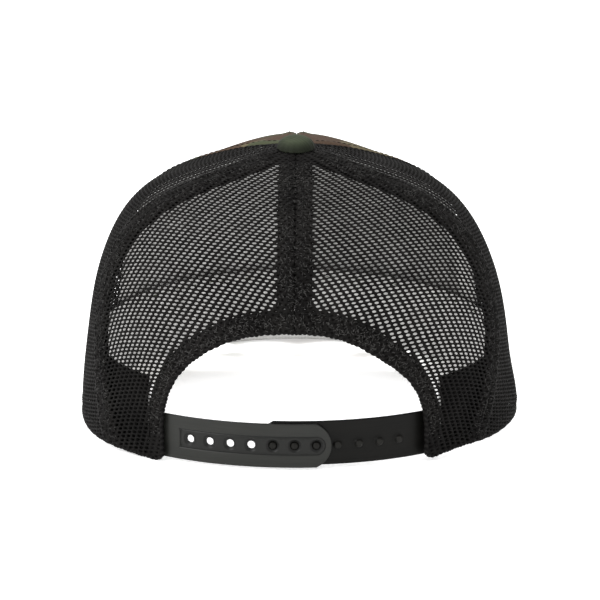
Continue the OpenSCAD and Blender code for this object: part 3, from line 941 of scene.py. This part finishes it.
def add_knit_panels():
    back = PanelMap(-58, back_seam, rear_side_seam, BACK_WEAVE, True)
    side = PanelMap(-2, rear_side_seam, front_side_seam, SIDE_WEAVE, False)
    for index, (label, sign) in enumerate((("left", -1), ("right", 1))):
        add_knit_panel(f"back_mesh_{label}", f"back_panel_{label}", back, sign, BACK_SEED + index)
        add_knit_panel(f"side_mesh_{label}", f"side_panel_{label}", side, sign, SIDE_SEED + index)


# ---- front panels and linings

def wrinkled(turn, rise):
    """The seams' relief with faint puckers beside them"""
    right = np.where(np.cos(np.radians(turn)) >= -1e-9, turn, 180 - np.asarray(turn))
    r = ring_size(rise)
    pucker = 0.0
    for seam in (front_side_seam, front_seam):
        away = np.abs(right - seam(rise)) * MM_PER_DEGREE * r
        ripple = np.sin(rise * CLOTH_UP / 4.1 + 2 * np.sin(rise * 21))
        pucker = pucker + 0.12 * np.exp(-(away - 5) ** 2 / 20) * ripple
    return relief(turn, rise) + pucker * np.clip((r - 0.08) / 0.12, 0, 1)


def add_front_panels():
    turn, rise = between(front_side_seam, front_seam, 56, 90)
    for label, sign in (("left", -1), ("right", 1)):
        for name, depth, thick, paint, slot in (
            ("front_panel", 0.0, FRONT_T, "camo_" + label, "camo_cloth"),
            # the right stiffener takes the darker copy of the buckram, as painted shade
            ("front_stiffener", STIFFENER_DEPTH, STIFFENER_T, "buckram_" + label, "buckram"),
        ):
            loops, cloth = crown_sheet(turn, rise, depth, thick, wrinkled)
            if sign < 0:
                loops = mirrored(loops)
            new_object(f"{name}_{label}_cloth", loops, sweep(loops), paint,
                       (f"{name}_{label}",), cloth=cloth)


def tape_sheet(seam, foot, depth, thickness):
    rise = np.linspace(foot, TOP, 120)[:, None]
    half = np.minimum(TAPE_W / 2 / mm_at(rise), TAPE_MAX_HALF)
    across = np.linspace(-1, 1, 9)[None, :]
    turn = seam(rise) + half * across
    rise = np.broadcast_to(rise, turn.shape)
    wave = 0.12 * np.sin(rise * 90) * across ** 2
    return crown_sheet(turn, rise, depth + wave, thickness, lambda t, r: 0.55 * relief(t, r))


def add_tapes():
    """Woven tapes that cover the seams inside the crown"""
    hem_foot = 0.004
    arch_foot = rise_at(-90, ARCH_H + BAND_W + 1)
    for name, seam, foot, depth, sign in (
        ("seam_tape_back", back_seam, arch_foot, REAR_TAPE_DEPTH, 1),
        ("seam_tape_rear_right", rear_side_seam, hem_foot, REAR_TAPE_DEPTH, 1),
        ("seam_tape_rear_left", rear_side_seam, hem_foot, REAR_TAPE_DEPTH, -1),
        ("seam_tape_front_right", front_side_seam, hem_foot, FRONT_TAPE_DEPTH, 1),
        ("seam_tape_front_left", front_side_seam, hem_foot, FRONT_TAPE_DEPTH, -1),
        ("seam_tape_front", front_seam, hem_foot, FRONT_TAPE_DEPTH, 1),
    ):
        loops, cloth = tape_sheet(seam, foot, depth, TAPE_T)
        if sign < 0:
            loops = mirrored(loops)
        paint = "pale_tape" if "front" in name else "tape"
        new_object(name + "_cloth", loops, sweep(loops), paint, (name,), cloth=cloth)


def add_sweatband():
    """A woven backing, and a soft padded facing that is stitched to it along both edges"""
    stop = ARCH_HALF + SWEATBAND_STOP
    turn = np.linspace(stop - 90, 270 - stop, 420)[:, None]
    height = np.linspace(HEM_LIFT, SWEATBAND_H, 18)[None, :]
    turn, height = np.broadcast_arrays(turn, height)
    rise = rise_at(turn, height)
    loops, cloth = crown_sheet(turn, rise, BACKING_DEPTH, BACKING_T, lambda t, r: 0 * r)
    new_object("sweatband_backing_cloth", loops, sweep(loops), "backing",
               ("sweatband_backing",), cloth=cloth)
    share = (height - HEM_LIFT) / (SWEATBAND_H - HEM_LIFT)
    pad = np.sin(math.pi * share) ** 0.5
    along = turn * MM_PER_DEGREE
    pucker = 0.18 * np.sin(along / 2.3 + 1.7 * np.sin(along / 11)) * np.exp(-(share - 0.9) ** 2 / 0.01)
    sag = 0.25 * np.sin(along / 17 + 2 * np.sin(along / 41)) * pad
    thick = FACING_T * (0.45 + 0.75 * pad) + pucker + sag
    outer = crown(turn, rise, FACING_DEPTH + 0 * rise)
    inner = crown(turn, rise, FACING_DEPTH + thick)
    lip = (outer + inner) / 2
    ahead = np.clip(np.sin(np.radians(turn[:, :1, None])), 0, 1) ** 2
    top_lip, foot_lip = lip[:, -1:] + [0, 0, 0.5], lip[:, :1] - [0, 0, 0.3] - ahead * [0, 0, 1.5]
    loops = wrapped(outer, [top_lip], inner, foot_lip)
    cloth = wrapped_cloth(cloth_place(turn, rise))
    facing = new_object("sweatband_facing_cloth", loops, sweep(loops), "facing",
                        ("sweatband_facing",), cloth=cloth)


# ---- visor

ROWS_FROM, ROW_GAP, ROW_COUNT = 3.5, 6.6, 7
QUILT_PUFF, COVER_SHEET_T = 0.28, 0.7


def visor_bend(x, y):
    end = crown(VISOR_END, 0.0)
    slope = math.tan(math.radians(VISOR_SLOPE))
    radius = end[0] ** 2 / (2 * slope * (FRONT - end[1]))
    return -slope * (y - FRONT) - x * x / (2 * radius)


def visor_rim(u):
    end = crown(VISOR_END, 0.0)
    angle = math.pi * u
    wide = end[0] + VISOR_OVERLAP
    long = FRONT + VISOR_LEN - end[1] + VISOR_OVERLAP
    return join(
        wide * np.sign(np.cos(angle)) * np.abs(np.cos(angle)) ** (2 / VISOR_SQUARE),
        end[1] - VISOR_OVERLAP + long * np.maximum(np.sin(angle), 0) ** (2 / VISOR_SQUARE),
    )


def visor_point(u, out, level):
    """A point of the visor: u runs right to left, out from the root to the rim"""
    root = crown(VISOR_END + (180 - 2 * VISOR_END) * u, 0.0, -VISOR_GAP)
    rim = visor_rim(u)
    x = root[..., 0] + (rim[..., 0] - root[..., 0]) * out
    y = root[..., 1] + (rim[..., 1] - root[..., 1]) * out
    z = visor_bend(x, y) - visor_bend(root[..., 0], root[..., 1]) * (1 - out) + level
    return join(x, y, z)


def visor_reach(u):
    """Distance from root to rim"""
    root = crown(VISOR_END + (180 - 2 * VISOR_END) * u, 0.0, -VISOR_GAP)
    return np.hypot(*(visor_rim(u) - root[..., :2]).T).T


def quilting(from_rim):
    """The cloth rises a little between the rows of stitching"""
    row = (from_rim - ROWS_FROM) / ROW_GAP
    rows = (row > -0.5) & (row < ROW_COUNT - 0.5)
    return QUILT_PUFF * np.abs(np.sin(math.pi * row)) * np.where(rows, 1, 0.6) - 0.1


def add_visor():
    # close steps at the two ends, where the rim turns back
    u = (1 - np.cos(np.linspace(0, math.pi, 260))) / 2
    u = np.clip(u, 0.002, 0.998)[:, None]
    out = np.linspace(0, 1, 72)[None, :]
    u, out = np.broadcast_arrays(u, out)
    from_rim = (1 - out) * visor_reach(u)
    for name, level, thick, facing, paint in (
        ("visor_top_cover", VISOR_TOP, -COVER_SHEET_T, 1, "camo_visor"),
        ("visor_under_cover", VISOR_BOTTOM, COVER_SHEET_T, -1, "camo_under"),
    ):
        puff = quilting(from_rim) * facing
        outer = visor_point(u, out, level + puff)
        inner = visor_point(u, out, level + thick)
        ahead = unit((outer[:, -1] - outer[:, -2]) * [1, 1, 0])
        # the cover is folded round the board's rim and meets the other cover at its middle
        meeting = (BOARD_TOP + UNDER_TOP) / 2 + 0.05 * facing
        nose = [
            (visor_point(u[:, -1], out[:, -1], at) + push * ahead)[:, None]
            for push, at in (
                (0.45, level - 0.15 * facing), (0.8, level - 0.7 * facing), (0.85, meeting), (0.35, meeting),
                (0.3, level + thick),
            )
        ]
        loops = wrapped(outer, nose, inner, (outer[:, :1] + inner[:, :1]) / 2)
        place = join(outer[..., 0], outer[..., 1], np.full(out.shape, 5.0))
        new_object(name + "_cloth", loops, sweep(loops), paint, (name,),
                   cloth=wrapped_cloth(place, len(nose)))


# ---- button and its metal parts

def button_frame(points):
    """Points drawn on the button's own axis, in the cap's frame"""
    tilt = math.radians(BUTTON_TILT)
    x, y, z = np.moveaxis(points, -1, 0)
    return join(
        x,
        y * math.cos(tilt) - z * math.sin(tilt) - APEX_BACK,
        y * math.sin(tilt) + z * math.cos(tilt) + HEIGHT - BUTTON_SINK,
    )


def add_button():
    """Cloth drawn over the shell and gathered under its rim"""
    fall = np.radians(np.linspace(1, 83, 24))
    reach = BUTTON_R * np.sin(fall) ** (2 / BUTTON_BOW)
    outer = join(reach, BUTTON_H * np.cos(fall) ** (2 / BUTTON_BOW))
    rim = np.array([(0.05, 0.42), (0.1, 0.1), (-0.1, -0.15), (-0.6, -0.22)]) + [BUTTON_R, 0]
    inner = outer[::-1] * [0.94, 0.88]
    profile = np.concatenate([outer, rim, inner])
    turn = np.linspace(0, 2 * math.pi, 120, endpoint=False)[:, None]
    edge = np.clip(profile[:, 0] / BUTTON_R - 0.55, 0, 1)[None, :]
    folds = 1 + 0.030 * edge * np.sin(14 * turn + 2 * np.sin(3 * turn))
    r = profile[:, 0] * folds
    z = profile[:, 1] - 0.25 * edge * np.cos(9 * turn + 1) ** 2
    loops = button_frame(join(r * np.cos(turn), r * np.sin(turn), np.broadcast_to(z, r.shape)))
    faces = list(sweep(loops, closed=True))
    size = len(profile)
    # the open rings at the two ends of the profile are closed by flat caps
    faces = [f for f in faces if not (set(f % size) == {0, size - 1})]
    faces.append(np.arange(len(turn)) * size)
    faces.append(np.arange(len(turn))[::-1] * size + size - 1)
    share = np.broadcast_to(profile[:, 0] / BUTTON_R, r.shape)
    cloth = join(share, r * np.cos(turn), r * np.sin(turn))
    new_object("button_cover_cloth", loops, faces, "button", ("button_cover",),
               cloth=cloth)


def dress_cad_nodes():
    """Hard parts that keep their CAD shape get their materials"""
    for name, paint in (
        ("button_shell", "steel"), ("button_rivet", "steel"), ("button_washer", "steel"),
        ("visor_board", "board"),
    ):
        mesh = frame["nodes"][name].data
        mesh.materials.clear()
        mesh.materials.append(MATERIALS[paint])


# ---- snap strap

SNAP_SEGMENTS = 8
CHANNEL_HALF, CHANNEL_DEEP, CHANNEL_RIM = 3.6, 0.12, 0.16
GROOVE_DEEP = 0.38
EDGE_ROUND = 0.22
STRAP_SAG, STRAP_END_SAG = 0.8, 1.0


def stadium(offsets, shift, x_stations):
    """A grid of flat points wrapped round the snap line and the tip; offsets run from 0 at the channel's
    edge to 1 at the strap's edge. The line of snaps is y = 0 and the first snap, near the tip, is x = 0"""
    phi = np.radians(np.linspace(90, 270, 2 * SNAP_SEGMENTS + 1))
    centre_x = TIP_ROUND_R - TIP_LEN
    c, s = np.cos(phi), np.sin(phi)
    # the tip's circle, met by a ray from the first snap
    b = c * centre_x + s * shift
    far = b + np.sqrt(b * b - (centre_x ** 2 + shift ** 2 - TIP_ROUND_R ** 2))
    to_edge = np.where(s > 0, STRAP_W / 2 + shift, STRAP_W / 2 - shift)
    limit = np.where(np.abs(s) > 1e-6, to_edge / np.abs(s), 99)
    far = np.minimum(far, limit)
    tip_in = join(CHANNEL_HALF * c, CHANNEL_HALF * s)
    tip_out = join(far * c, far * s)
    top_in = join(x_stations, np.full(len(x_stations), CHANNEL_HALF))
    top_out = join(x_stations, np.full(len(x_stations), STRAP_W / 2 + shift))
    foot_in = top_in * [1, -1]
    foot_out = join(x_stations, np.full(len(x_stations), shift - STRAP_W / 2))
    inner = np.concatenate([top_in[::-1], tip_in[1:-1], foot_in])
    outer = np.concatenate([top_out[::-1], tip_out[1:-1], foot_out])
    return inner[:, None] + (outer - inner)[:, None] * offsets[None, :, None]


def snap_cell(centre, first):
    """The 32 boundary points round a snap, anticlockwise from its right side's foot"""
    half = SNAP_PITCH / 2
    side = np.linspace(-CHANNEL_HALF, CHANNEL_HALF, SNAP_SEGMENTS + 1)
    across = np.linspace(half, -half, SNAP_SEGMENTS + 1)
    points = [(centre + half, y) for y in side[:-1]]
    if first:
        points += [(centre + x, CHANNEL_HALF) for x in across[:SNAP_SEGMENTS // 2]]
        phi = np.radians(np.linspace(90, 270, 2 * SNAP_SEGMENTS + 1))
        points += [(centre + CHANNEL_HALF * math.cos(p), CHANNEL_HALF * math.sin(p)) for p in phi[:-1]]
        points += [(centre - x, -CHANNEL_HALF) for x in across[SNAP_SEGMENTS // 2:-1]]
    else:
        points += [(centre + x, CHANNEL_HALF) for x in across[:-1]]
        points += [(centre - half, -y) for y in side[:-1]]
        points += [(centre - x, -CHANNEL_HALF) for x in across[:-1]]
    return np.array(points)


# Radius and height of each ring round a snap, from the channel inward
HOLE_PROFILE = [(2.95, 0.0), (2.72, -0.02), (2.5, -0.3), (2.1, -0.5), (1.6, -0.62)]
PEG_PROFILE = [
    (2.9, 0.0), (2.3, -0.06), (1.9, 0.06), (PEG_R + 0.15, 0.35), (PEG_R, 0.7),
    (1.4, 1.25), (1.1, PEG_H - 0.08), (0.6, PEG_H + 0.04), (0.25, PEG_H + 0.06),
]


class Plate:
    """A flat plate given by points (x, y, height of the front, height of the back) and faces, to be bent"""

    def __init__(self):
        self.points, self.faces, self.count = [], [], 0

    def grid(self, flat, front, back):
        """Adds a grid of points and its front and back faces"""
        n, m = flat.shape[:2]
        index = self.add(flat, front, back).reshape(n, m)
        quads = join(index[:-1, :-1], index[1:, :-1], index[1:, 1:], index[:-1, 1:]).reshape(-1, 4)
        self.faces += [("both", q) for q in quads]
        return index

    def add(self, flat, front, back):
        flat = flat.reshape(-1, 2)
        front = np.broadcast_to(np.ravel(front), flat.shape[:1])
        back = np.broadcast_to(np.ravel(back), flat.shape[:1])
        self.points.append(np.column_stack([flat, front, back]))
        start = self.count
        self.count += len(flat)
        return np.arange(start, self.count)

    def wall(self, line):
        self.faces += [("wall", np.array([a, b])) for a, b in zip(line[:-1], line[1:])]

    def build(self):
        """Points (x, y, height) and faces of the closed plate"""
        p = np.concatenate(self.points)
        n = len(p)
        points = np.concatenate([p[:, [0, 1, 2]], p[:, [0, 1, 3]]])
        faces = []
        for kind, ids in self.faces:
            if kind == "both":
                faces += [ids, ids[::-1] + n]
            else:
                faces.append(np.array([ids[1], ids[0], ids[0] + n, ids[1] + n]))
        return points, faces


def strap_plate(shift, snaps):
    """A strap half laid flat, with its channel and its holes or pegs"""
    sewn_x = math.radians(SEWN_ANGLE) * STRAP_R + SNAP_PITCH
    channel_end = (SNAP_COUNT - 0.5) * SNAP_PITCH
    step = SNAP_PITCH / SNAP_SEGMENTS
    stations = np.arange(0, channel_end + step / 2, step)
    rim_x = channel_end + CHANNEL_RIM * np.array([1, 2.2])
    beyond = np.concatenate([rim_x, np.linspace(channel_end + 0.8, sewn_x, 30)])
    stations = np.concatenate([stations, beyond])
    plate = Plate()
    deep, groove = (CHANNEL_DEEP, GROOVE_DEEP) if snaps == "holes" else (0.0, 0.0)
    rows = np.array([0, 0.03, 0.065, 0.2, 0.4, 0.6, 0.8, 0.93, 0.975, 1.0])
    flat = stadium(rows, shift, stations)
    x = flat[:, 0, 0]
    floor = np.where(x > channel_end + 0.01, 0.0, -deep)
    floor = np.where(np.abs(x - channel_end - CHANNEL_RIM) < 0.01, -groove, floor)
    front = np.zeros(flat.shape[:2])
    front[:, 0] = floor
    front[x < channel_end + 0.4, 1] = -groove
    front[:, -2], front[:, -1] = -0.05, -EDGE_ROUND
    back = np.full(flat.shape[:2], -STRAP_T)
    back[:, -1] += EDGE_ROUND
    index = plate.grid(flat, front, back)
    plate.wall(index[:, -1])
    # the two ends at the sewn edge
    plate.wall(index[0])
    plate.wall(index[-1][::-1])
    middle_y = np.linspace(-CHANNEL_HALF, CHANNEL_HALF, SNAP_SEGMENTS + 1)
    root_x = np.concatenate([[channel_end], beyond])
    root = np.stack(np.meshgrid(root_x, middle_y, indexing="ij"), -1)
    root_front = np.where(root[..., 0] > channel_end + 0.01, 0.0, -deep)
    root_front[1] = -groove
    index = plate.grid(root, root_front.ravel(), -STRAP_T)
    plate.wall(index[-1])
    for i in range(SNAP_COUNT):
        centre = i * SNAP_PITCH
        rim = snap_cell(centre, i == 0)
        angle = np.arctan2(rim[:, 1], rim[:, 0] - centre)
        ray = join(np.cos(angle), np.sin(angle))
        profile = HOLE_PROFILE if snaps == "holes" else PEG_PROFILE
        rings = [rim] + [np.array([centre, 0]) + r * ray for r, _ in profile]
        heights = [-deep] + [h - (deep if h <= 0 else 0) for _, h in profile]
        closed = np.stack([np.concatenate([ring, ring[:1]]) for ring in rings])
        index = plate.grid(closed, np.repeat(heights, len(rim) + 1), -STRAP_T)
        if snaps == "holes":
            plate.wall(index[-1])
        else:
            plate.faces.append(("both", index[-1][:-1][::-1]))
    return plate.build()


def bent(points, side, face_r, z_middle):
    """Bends flat strap points round the strap's upright axis; the first snap is one pitch past the middle"""
    angle = (points[:, 0] - SNAP_PITCH) / STRAP_R
    r = face_r + points[:, 2]
    sag = STRAP_SAG + STRAP_END_SAG * (angle / math.radians(SEWN_ANGLE)) ** 2
    return np.column_stack([
        side * r * np.sin(angle), -STRAP_BACK - r * np.cos(angle), z_middle + points[:, 1] - sag
    ])


def add_strap():
    """Two strap halves, each bent round the strap's upright axis as one piece, attached to no body"""
    for label, side, face_r, shift, snaps, body, nodes in (
        ("holed", -1, STRAP_R, 0.0, "holes", "holed_strap", ("strap_holed_half", "strap_holed_end")),
        ("pegged", 1, STRAP_R - STRAP_T - HALVES_GAP, STRAP_STEP, "pegs", "pegged_strap",
         ("strap_pegged_half", "strap_pegged_end")),
    ):
        flat, faces = strap_plate(shift, snaps)
        points = bent(flat, side, face_r, SNAP_Z)
        # the left half takes the painted lit copy of the plastic, the right half the painted shaded copy
        paint = "strap_painted_lit" if side < 0 else "strap_painted_shade"
        strap = new_object(f"strap_{label}", points, faces, paint, nodes, None, flat, True)
        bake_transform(strap)


# ---- stitching

STITCH_LEN, STITCH_GAP, STITCH_R = 2.5, 0.55, 0.2
HEM_STITCH_Z, SEAM_STITCH_OFF, ARCH_STITCH_IN = 5.0, 3.0, 1.2
SWEATBAND_STITCH_DOWN, SWEATBAND_STITCH_DEPTH = 2.5, 0.95


def stitches(name, lines, look):
    """Rows of stitches along lines of (points, normals), each stitch a short thread sunk at its ends"""
    ring = np.radians(np.arange(6) * 60)
    stations = np.array([-1, -0.85, -0.4, 0, 0.4, 0.85, 1])
    girth = np.array([0.35, 0.8, 1, 1, 1, 0.8, 0.35])
    lift = np.array([-1.0, -0.5, -0.1, 0.1, -0.1, -0.5, -1.0]) * STITCH_R
    all_points, all_faces, start = [], [], 0
    for line, normals in lines:
        along = walked(line)
        middles = np.arange(STITCH_LEN / 2, along[-1] - STITCH_LEN / 2, STITCH_LEN + STITCH_GAP)
        for middle in middles:
            place = middle + stations * STITCH_LEN / 2
            centre = join(*[np.interp(place, along, line[:, k]) for k in range(3)])
            normal = join(*[np.interp(place, along, normals[:, k]) for k in range(3)])
            normal = unit(normal)
            across = np.cross(unit(centre[-1] - centre[0]), normal)
            centre = centre + normal * lift[:, None]
            radius = STITCH_R * girth[:, None, None]
            loop = centre[:, None] + radius * (
                np.cos(ring)[None, :, None] * across[:, None] + np.sin(ring)[None, :, None] * normal[:, None]
            )
            all_points.append(loop.reshape(-1, 3))
            all_faces.append(sweep(loop) + start)
            start += loop.shape[0] * loop.shape[1]
    new_object(name, np.concatenate(all_points), np.concatenate(all_faces), look)


CURL_SEED, CURL_R = 77, 0.11
CURL_SHORT, CURL_LONG, CURL_BEND = 0.6, 1.9, 0.8
BACK_CURLS, SIDE_CURLS, ARCH_CURLS = 600, 850, 850


def add_curls():
    """Short curled yarns that show on the doubled, overlocked cloth along the arch and the seams; their grey
    is a painted glint on the black yarn
    """
    rng = np.random.default_rng(CURL_SEED)
    spots = []
    for count, seam, low, high in (
        (BACK_CURLS, back_seam, 0.43, 0.9),
        (SIDE_CURLS, rear_side_seam, 0.02, 0.9),
        (SIDE_CURLS, lambda r: 180 - rear_side_seam(r), 0.02, 0.9),
    ):
        rise = rng.uniform(low, high, count)
        across = rng.uniform(-1, 1, count) * (SEAM_COVER - 0.3)
        spots.append(join(seam(rise) + across / mm_at(rise), rise))
    angle = rng.uniform(4, 176, ARCH_CURLS)
    turn, height = arch_ring(angle, rng.uniform(0.7, ARCH_COVER - 0.4, ARCH_CURLS))
    spots.append(join(turn, rise_at(turn, np.maximum(height, 0.8))))
    turn, rise = np.concatenate(spots).T
    count = len(turn)
    way = rng.uniform(0, 2 * math.pi, (count, 1))
    length = rng.uniform(CURL_SHORT, CURL_LONG, (count, 1))
    curl = rng.normal(0, CURL_BEND, (count, 1))
    t = np.linspace(-0.5, 0.5, 5)[None, :]
    across = length * t * np.cos(way) - curl * length * t * t * np.sin(way)
    upward = length * t * np.sin(way) + curl * length * t * t * np.cos(way)
    size = ring_size(rise)[:, None]
    turn = turn[:, None] + across / (MM_PER_DEGREE * size)
    rise = np.clip(rise[:, None] + upward / 170, 0.002, TOP)
    line, normal = crown_line(turn, rise)
    line = line - normal * (0.04 + 1.1 * CURL_R * (2 * t[..., None]) ** 4)
    side = np.cross(unit(np.gradient(line, axis=1)), normal)
    ring = np.radians(np.arange(4) * 90)[:, None]
    radius = CURL_R * rng.uniform(0.6, 1.15, (count, 1, 1, 1)) * (1 - 0.5 * (2 * t[..., None, None]) ** 4)
    loops = line[:, :, None] + radius * (np.cos(ring) * side[:, :, None] + np.sin(ring) * normal[:, :, None])
    faces = np.concatenate([sweep(loop) + i * loop.shape[0] * loop.shape[1] for i, loop in enumerate(loops)])
    new_object("loose_yarn", loops.reshape(-1, 3), faces, "yarn_glint")


def crown_line(turn, rise):
    return crown(turn, rise, 0.0 - relief(turn, rise)), crown_normal(turn, rise)


def mirrored_line(line):
    return mirrored(line[0]), mirrored(line[1])


def seam_lines(seam, foot, both):
    """Two stitch lines beside a seam"""
    rise = np.linspace(foot, 0.93, 160)
    lines = []
    for side in (-1, 1):
        turn = seam(rise) + side * SEAM_STITCH_OFF / mm_at(rise)
        lines.append(crown_line(turn, rise))
    return lines + [mirrored_line(line) for line in lines] if both else lines


def add_stitching():
    arch_foot = rise_at(-90, ARCH_H + 2)
    for name, seam, foot, both, thread, slot in (
        ("back_seam_stitches", back_seam, arch_foot, False, "thread", "tape"),
        ("rear_seam_stitches", rear_side_seam, 0.01, True, "thread", "tape"),
        ("front_side_seam_stitches", front_side_seam, 0.01, True, "thread", "tape"),
        ("front_seam_stitches", front_seam, 0.02, False, "brown_thread", "camo_cloth"),
    ):
        stitches(name, seam_lines(seam, foot, both), thread)
    # along the arch, on the outer edge of its band
    angle = np.linspace(3, 177, 400)
    turn, height = arch_ring(angle, BAND_W - ARCH_STITCH_IN)
    stitches("arch_stitches", [crown_line(turn, rise_at(turn, np.maximum(height, 0.5)))], "thread")
    # along the hem and along the top of the sweatband, where it shows through the mesh
    stop = ARCH_HALF + SWEATBAND_STOP
    turn = np.linspace(stop - 90, 270 - stop, 500)
    stitches("hem_stitches", [crown_line(turn, rise_at(turn, HEM_STITCH_Z))], "thread")
    rise = rise_at(turn, SWEATBAND_H - SWEATBAND_STITCH_DOWN)
    line = (crown(turn, rise, FACING_DEPTH + SWEATBAND_STITCH_DEPTH), -crown_normal(turn, rise))
    stitches("sweatband_stitches", [line], "green_thread")


def add_visor_stitching():
    for name, level, facing in (
        ("visor_top_stitches", VISOR_TOP, 1), ("visor_under_stitches", VISOR_BOTTOM, -1),
    ):
        lines = []
        for row in range(ROW_COUNT):
            from_rim = ROWS_FROM + row * ROW_GAP
            u = np.linspace(0.01, 0.99, 500)
            reach = visor_reach(u)
            u = u[reach > from_rim + 1]
            if len(u) < 10:
                continue
            out = 1 - from_rim / visor_reach(u)
            line = visor_point(u, out, level - 0.1 * facing)
            lines.append((line, np.tile([0.0, 0.0, float(facing)], (len(u), 1))))
        stitches(name, lines, "green_thread")


# ---- floor and light

def add_stage():
    mesh = bpy.data.meshes.new("floor")
    reach = 8.0
    corners = [(-reach, -reach, 0), (reach, -reach, 0), (reach, reach, 0), (-reach, reach, 0)]
    mesh.from_pydata(corners, [], [(0, 1, 2, 3)])
    floor = bpy.data.objects.new("floor", mesh)
    floor.location.z = -0.0002
    bpy.context.scene.collection.objects.link(floor)
    s = Shader("floor", "matte_plastic", 0.9, Base_Color=(0.93, 0.93, 0.93, 1), Specular_IOR_Level=0.1,
               Emission_Color=(1, 1, 1, 1), Emission_Strength=0.45)
    mesh.materials.append(s.material)


def add_area(name, place, aim, size, power):
    light = bpy.data.lights.new(name, "AREA")
    light.shape = "DISK"
    light.size = size
    light.energy = power
    holder = bpy.data.objects.new(name, light)
    bpy.context.scene.collection.objects.link(holder)
    way = Vector(aim) - Vector(place)
    turn = way.to_track_quat("-Z", "Y").to_matrix().to_4x4()
    holder.matrix_world = Matrix.Translation(Vector(place)) @ turn


# Each lamp's place, what it points at, its diameter in m and its power in W
LAMPS = (
    ("key", (-1.3, -0.9, 1.1), (0, 0, 0.06), 0.9, 22),
    ("fill", (1.2, -0.8, 1.1), (0, 0, 0.06), 1.1, 3),
    ("top", (0, 0.5, 1.9), (0, 0, 0.05), 1.2, 14),
)
WORLD_STRENGTH = 1.05
INSIDE_SIZE, INSIDE_POWER = 0.11, 0.06
UNDER_SIZE, UNDER_POWER, UNDER_DROP = 0.03, 0.0032, 2.6


def add_light():
    world = bpy.data.worlds.new("studio")
    world.use_nodes = True
    world.node_tree.nodes["Background"].inputs["Color"].default_value = (1, 1, 1, 1)
    world.node_tree.nodes["Background"].inputs["Strength"].default_value = WORLD_STRENGTH
    bpy.context.scene.world = world
    for lamp in LAMPS:
        add_area(*lamp)
    # a soft lamp under the crown, which shines down on the floor inside the cap
    add_area("inside", placed([0.0, 5.0, 60.0]), placed([0.0, 12.0, 0.0]), INSIDE_SIZE, INSIDE_POWER)
    # and small ones below the visor, where the floor shows through the arch
    hidden = ["inside"]
    for i, x in enumerate((-44.0, -15.0, 15.0, 44.0)):
        for j, y in enumerate((114.0, 146.0)):
            z = visor_bend(x, y) + VISOR_BOTTOM - UNDER_DROP
            name = f"under_visor_{i}_{j}"
            add_area(name, placed([x, y, z]), placed([x, y - 1.4, z - 10]), UNDER_SIZE, UNDER_POWER)
            hidden.append(name)
    for name in hidden:
        bpy.data.objects[name].visible_camera = False
    bpy.context.scene.view_settings.view_transform = "Standard"


# ---- the cap

add_knit_panels()
add_edges()
add_front_panels()
add_tapes()
add_sweatband()
add_visor()
add_button()
dress_cad_nodes()
add_strap()
add_stitching()
add_curls()
add_visor_stitching()
add_stage()
add_light()
